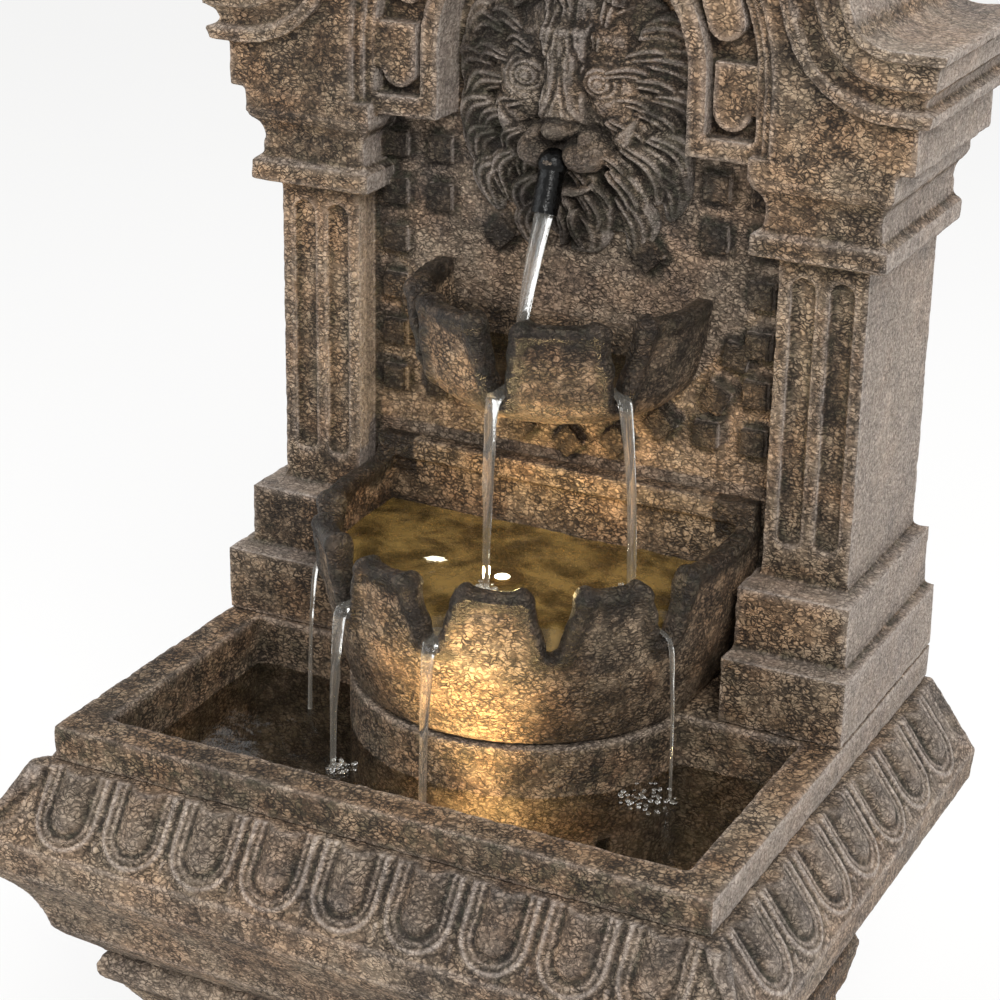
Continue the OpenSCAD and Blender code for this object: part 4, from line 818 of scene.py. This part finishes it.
def stream(name, points, width, material, seed):
    """A falling stream along a smooth line, wider where it leaves and unsteady lower down."""
    count, sides, flat = 70, 14, 0.62
    line, share = smooth_line(points, count)
    made, faces = [], []
    rows = np.stack([share * 40, np.full(count, seed * 3.0), np.zeros(count)], 1)
    wobble = noise(rows, 6, seed)
    for k, (x, d, z) in enumerate(line):
        r = 0.5 * width * (1.15 - 0.45 * share[k] + 0.16 * wobble[k] * (0.3 + share[k]))
        twist = 1.2 * share[k] + 0.4 * wobble[k]
        c, s = math.cos(twist), math.sin(twist)
        for j in range(sides):
            w = 2 * math.pi * j / sides
            ring = 1 + 0.10 * math.sin(3 * w + 5 * share[k] + seed)
            px, pd = r * ring * math.cos(w), r * ring * flat * math.sin(w)
            made.append((x + px * c - pd * s, back_y - (d + px * s + pd * c), z))
    for k in range(count - 1):
        for j in range(sides):
            q = (j + 1) % sides
            faces.append((k * sides + j, k * sides + q, (k + 1) * sides + q, (k + 1) * sides + j))
    last = (count - 1) * sides
    faces.append(tuple(range(sides - 1, -1, -1)))
    faces.append(tuple(last + j for j in range(sides)))
    piece = mesh_of(name, made, faces)
    dress(piece, material)
    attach(piece, BODY)


def froth(name, spots, level, material, seed):
    """Small bubbles and drops where the streams land."""
    rng = np.random.default_rng(seed)
    form = bmesh.new()
    for (x, d), count, reach in spots:
        for _ in range(count):
            r = reach * math.sqrt(rng.random())
            a = rng.uniform(0, 2 * math.pi)
            size = rng.uniform(0.6, 1.7)
            rise = rng.uniform(0, 1.5) + 3 * (rng.random() < 0.15)
            at = place(x + r * math.cos(a), d + r * math.sin(a), level + rise)
            shape = Matrix.Translation(at) @ Matrix.Diagonal((size * MM, size * MM, size * 0.7 * MM, 1))
            bmesh.ops.create_icosphere(form, subdivisions=2, radius=1.0, matrix=shape)
    mesh = bpy.data.meshes.new(name)
    form.to_mesh(mesh)
    form.free()
    mesh.polygons.foreach_set("use_smooth", np.ones(len(mesh.polygons), bool))
    piece = link(name, mesh)
    dress(piece, material)
    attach(piece, BODY)


def in_pool(x, d):
    return (np.hypot(x, d - bowl_c) > drum_r - 3) | (d < bowl_c)


def in_bowl(x, d):
    reach = np.where(notch_nearness(x, d, bowl_c, bowl_notches, 7) > 0.5, bowl_r - 1, bowl_r - 9)
    return np.hypot(x, np.maximum(d - bowl_c, 0)) < reach


def in_cup(x, d):
    return np.hypot(x, np.maximum(d - cup_c, 0)) < cup_r - 10


def make_water():
    fall = clear("stream_water", (0.96, 0.97, 0.96), 0.03, 1.33, ((1.0, 0.94, 0.82), 0.03))
    far_left, left, front, right = (-132, 250), (-70, 290), (0, 322), (120, 236)
    bowl_landings = [left, front, right, far_left]
    cup_front, cup_right = (0, 226), (74, 192)
    spout_landing = (0, 190)

    def pool_height(x, d):
        return pool_level + ripples(x, d, bowl_landings)

    def bowl_height(x, d):
        out = np.hypot(x, d - bowl_c)
        dip = 12 * notch_nearness(x, d, bowl_c, bowl_notches, 9) * step(out, bowl_r - 34, bowl_r - 6)
        return bowl_level - 4 + ripples(x, d, [cup_front, cup_right]) - dip

    def cup_height(x, d):
        return cup_level + ripples(x, d, [spout_landing])

    water_sheet("pool_water", in_pool, pool_half + 2, pool_back + 2, pool_front + 2, 3.0, pool_height,
                water_face("pool_water", (1.0, 0.98, 0.94), 0.05))
    # The bowl water's golden tint and heavy golden murk are painted light: the glow of the bowl lamp in the
    # water.
    water_sheet("bowl_water", in_bowl, bowl_r, niche_d + 12, bowl_c + bowl_r, 2.5, bowl_height,
                water_face("bowl_water", (0.95, 0.84, 0.58), 0.62, (0.42, 0.27, 0.085)))
    water_sheet("cup_water", in_cup, cup_r, niche_d + 4, cup_c + cup_r, 2.5, cup_height,
                water_face("cup_water", (0.80, 0.70, 0.55), 0.2))

    lip_d = back_y - spout_low[1] - 8
    lip_z = spout_low[2] + 3
    spout_line = ((-3, 10), (1, 0), (14, -25), (26, -55), (34, -84), (37, cup_level - lip_z))
    stream("spout_stream", [(0, lip_d + out, lip_z + rise) for out, rise in spout_line], 13, fall, 1)

    def overflow(name, angle, centre, radius, start_z, end_z, width, throw, seed):
        """A stream out of a notch, which lands that much further out."""
        c, s = math.cos(math.radians(angle)), math.sin(math.radians(angle))
        lip = 3
        fall_line = ((-16, start_z + 4), (-4, start_z + 2), (2, start_z - 4),
                     (lip + throw * 0.4, start_z - 30), (lip + throw * 0.75, (start_z + end_z) / 2),
                     (lip + throw, end_z))
        path = [((radius + out) * s, centre + (radius + out) * c, z) for out, z in fall_line]
        stream(name, path, width, fall, seed)

    cup = (cup_c, cup_r, cup_spill, bowl_level - 4)
    bowl = (bowl_c, bowl_r, bowl_spill, pool_level)
    for name, angle, source, width, throw, seed in (
            ("cup_stream_front", 0, cup, 12, 3, 2), ("cup_stream_right", 49, cup, 11, 16, 3),
            ("bowl_stream_left", -32, bowl, 10.5, 5, 4), ("bowl_stream_front", 0, bowl, 11, 6, 5),
            ("bowl_stream_right", 64, bowl, 4.5, 4, 6), ("bowl_stream_far_left", -64, bowl, 5, 4, 7)):
        overflow(name, angle, *source, width, throw, seed)
    froth("pool_foam", [(left, 40, 10), (front, 26, 7), (right, 60, 18)], pool_level, fall, 3)
    froth("bowl_foam", [(cup_front, 26, 7), (cup_right, 20, 6)], bowl_level - 3, fall, 4)


# Light, floor and camera

def make_world():
    """White where the camera sees it, in mirrors and through water, and a softer fill for everything else."""
    world = bpy.data.worlds.new("studio")
    bpy.context.scene.world = world
    world.use_nodes = True
    tree = world.node_tree
    tree.nodes.clear()

    def background(colour, strength):
        made = tree.nodes.new("ShaderNodeBackground")
        made.inputs["Color"].default_value = (*colour, 1)
        made.inputs["Strength"].default_value = strength
        return made.outputs[0]

    def either(a, b):
        made = tree.nodes.new("ShaderNodeMath")
        made.operation = "MAXIMUM"
        tree.links.new(a, made.inputs[0])
        tree.links.new(b, made.inputs[1])
        return made.outputs[0]

    ray = tree.nodes.new("ShaderNodeLightPath").outputs
    seen = either(either(ray["Is Camera Ray"], ray["Is Glossy Ray"]), ray["Is Transmission Ray"])
    mix = tree.nodes.new("ShaderNodeMixShader")
    tree.links.new(seen, mix.inputs[0])
    tree.links.new(background((1, 0.99, 0.97), 0.62), mix.inputs[1])
    tree.links.new(background((1, 1, 1), 1.0), mix.inputs[2])
    out = tree.nodes.new("ShaderNodeOutputWorld")
    tree.links.new(mix.outputs[0], out.inputs["Surface"])


def make_floor():
    far = 9000
    piece = mesh_of("floor", [(-far, -far, 0), (far, -far, 0), (far, far, 0), (-far, far, 0)], [(0, 1, 2, 3)])
    paint = Paint("floor_paint")
    pale = paint.mix(paint.noise(3.0), (0.93, 0.93, 0.93, 1), (0.96, 0.96, 0.96, 1))
    matt = paint.node("BsdfDiffuse", {"Color": pale})
    glow = paint.node("Emission", {"Color": (1, 1, 1, 1), "Strength": 1.0})
    share = paint.times(paint.node("LightPath").outputs["Is Camera Ray"], 0.72)
    both = paint.node("MixShader", {0: share, 1: matt.outputs[0], 2: glow.outputs[0]})
    dress(piece, paint.finish(both.outputs[0]))


def area_light(name, at, aim, size, power, colour=(1, 1, 1), spread=180):
    lamp = bpy.data.lights.new(name, "AREA")
    lamp.spread = math.radians(spread)
    lamp.shape = "DISK"
    lamp.size = size
    lamp.energy = power
    lamp.color = colour
    piece = link(name, lamp)
    piece.location = at
    piece.rotation_euler = (Vector(aim) - Vector(at)).to_track_quat("-Z", "Y").to_euler()
    piece.visible_camera = False


def over_lens(node, gap):
    """The place over the middle of a lamp's lens, with a gap in millimetres."""
    low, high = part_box(node)
    return ((low.x + high.x) / 2, (low.y + high.y) / 2, high.z + gap * MM)


def make_lights():
    middle = (0, 0, 0.55)
    area_light("key", (1.6, -2.2, 2.6), middle, size=1.4, power=76, colour=(1, 0.985, 0.95))
    area_light("fill", (-2.2, -1.6, 1.8), middle, size=1.8, power=24, colour=(0.96, 0.98, 1))
    area_light("back", (0.4, 1.8, 2.6), middle, size=1.6, power=20)
    warm = (1.0, 0.72, 0.34)
    glow = over_lens("bowl_lamp_lens", 3.5)
    area_light("bowl_lamp", glow, (glow[0], glow[1] + 0.02, glow[2] + 0.2), size=0.018, power=0.38,
               colour=warm)
    glow = over_lens("pool_lamp_lens", 3.0)
    area_light("pool_lamp", glow, place(8, 296, rim_z + 60), size=0.03, power=0.26, colour=warm, spread=62)
    area_light("pool_spill", glow, (glow[0] - 0.02, glow[1] + 0.03, glow[2] + 0.1), size=0.02, power=0.06,
               colour=warm)


def bright_spot(name, x, y, z, size, ragged, power):
    """A small low dome of light."""
    points, faces, sides = [(x, y, z + 1.6)], [], 20
    for r, rise in ((2.4, 1.3), (4.0, 0.6), (5.0, 0.1)):
        for j in range(sides):
            a = 2 * math.pi * j / sides
            reach = r * size * (1 + ragged * 0.45 * math.sin(3 * a + 1) * math.sin(5 * a))
            points.append((x + reach * math.cos(a) * (1 + 0.4 * ragged), y + reach * math.sin(a), z + rise))
    faces += [(0, 1 + j, 1 + (j + 1) % sides) for j in range(sides)]
    for k in range(2):
        for j in range(sides):
            a, b = 1 + k * sides + j, 1 + k * sides + (j + 1) % sides
            faces.append((a, a + sides, b + sides, b))
    piece = mesh_of(name, points, faces)
    paint = Paint(name)
    hot = paint.mix(paint.noise(900.0), (1.0, 0.90, 0.62, 1), (1.0, 0.95, 0.78, 1))
    dress(piece, paint.finish(paint.node("Emission", {"Color": hot, "Strength": power}).outputs[0]))
    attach(piece, BODY)


def make_glint():
    """The bright spot of the bowl lamp under its thin sheet of water, and its reflection beside it."""
    x, y, z = (value / MM for value in over_lens("bowl_lamp_lens", 0))
    bright_spot("bowl_lamp_spot", x, y, z, size=1.0, ragged=0.0, power=9.0)
    bright_spot("bowl_lamp_reflection", -51, back_y - 200, bowl_level - 3.4, size=0.9, ragged=0.9, power=1.6)


def make_camera():
    """The photograph's view, from its own lines: straight ahead of the picture's middle, with no shift."""
    yaw, pitch, roll = (math.radians(a) for a in (26.5204, 22.1157, 1.0042))
    back = Vector((math.sin(yaw) * math.cos(pitch), -math.cos(yaw) * math.cos(pitch), math.sin(pitch)))
    right = Vector((math.cos(yaw), math.sin(yaw), 0))
    up = back.cross(right)
    tilt_right = math.cos(roll) * right + math.sin(roll) * up
    tilt_up = -math.sin(roll) * right + math.cos(roll) * up
    data = bpy.data.cameras.new("camera")
    data.sensor_width = 36
    data.lens = 93.854
    camera = link("camera", data)
    turn = Matrix((tilt_right, tilt_up, back)).transposed().to_4x4()
    camera.matrix_world = Matrix.Translation((0.6793, -1.3599, 1.1739)) @ turn
    bpy.context.scene.camera = camera


# Assembly

def dress_frame_nodes(stone_paint):
    paints = {
        "cast_stone": stone_paint,
        "black_plastic": plastic("black_plastic", (0.018, 0.018, 0.020), 0.38),
        "clear_hose": clear("clear_hose", (0.80, 0.86, 0.86), 0.18, 1.4),
        "clip_steel": plastic("clip_steel", (0.55, 0.55, 0.56), 0.28, 1500.0, 0.02, metallic=1.0),
        "rotor_blue": plastic("rotor_blue", (0.05, 0.09, 0.16), 0.4),
        "ceramic": plastic("ceramic", (0.80, 0.79, 0.75), 0.2, 1500.0, 0.01),
        "grey_rubber": plastic("grey_rubber", (0.10, 0.11, 0.11), 0.65),
        "black_rubber": plastic("black_rubber", (0.018, 0.018, 0.018), 0.6, 1200.0),
        "lamp_lens": clear("lamp_lens", (0.42, 0.31, 0.14), 0.12, 1.45, ((1.0, 0.72, 0.30), 0.02)),
        "lamp_board": plastic("lamp_board", (0.80, 0.76, 0.55), 0.5),
    }
    for part in frame["record"]["subparts"]:
        paint = paints.get(part["material_slot"])
        if paint:
            dress(frame["nodes"][part["node"]], paint)
    wet_spout = plastic("wet_spout", (0.001, 0.001, 0.001), rough=0.26, grain=240.0, depth=1.4, shine=0.18)
    dress(frame["nodes"]["spout_nozzle"], wet_spout)


bpy.context.scene.view_settings.view_transform = "Standard"
make_camera()
make_world()
make_floor()
make_lights()
tan_stone = stone("tan_stone")
dark_stone = stone("dark_stone", (0.038, 0.030, 0.024), (0.20, 0.145, 0.105), (0.50, 0.385, 0.285), 2.6)
dress_frame_nodes(tan_stone)
make_wall(tan_stone)
make_basin(tan_stone)
make_base(tan_stone)
make_pedestal(tan_stone)
make_bowl("weathered_middle_bowl", "middle_bowl", tan_stone, bowl_c, bowl_r, bowl_rim, bowl_notches,
          notch=(17, 5, 40), voxel=1.5, seed=51)
make_bowl("weathered_upper_bowl", "upper_bowl", tan_stone, cup_c, cup_r, cup_rim, cup_notches,
          notch=(15, 3, 54), voxel=1.3, seed=61)
make_lion(dark_stone)
make_water()
make_glint()
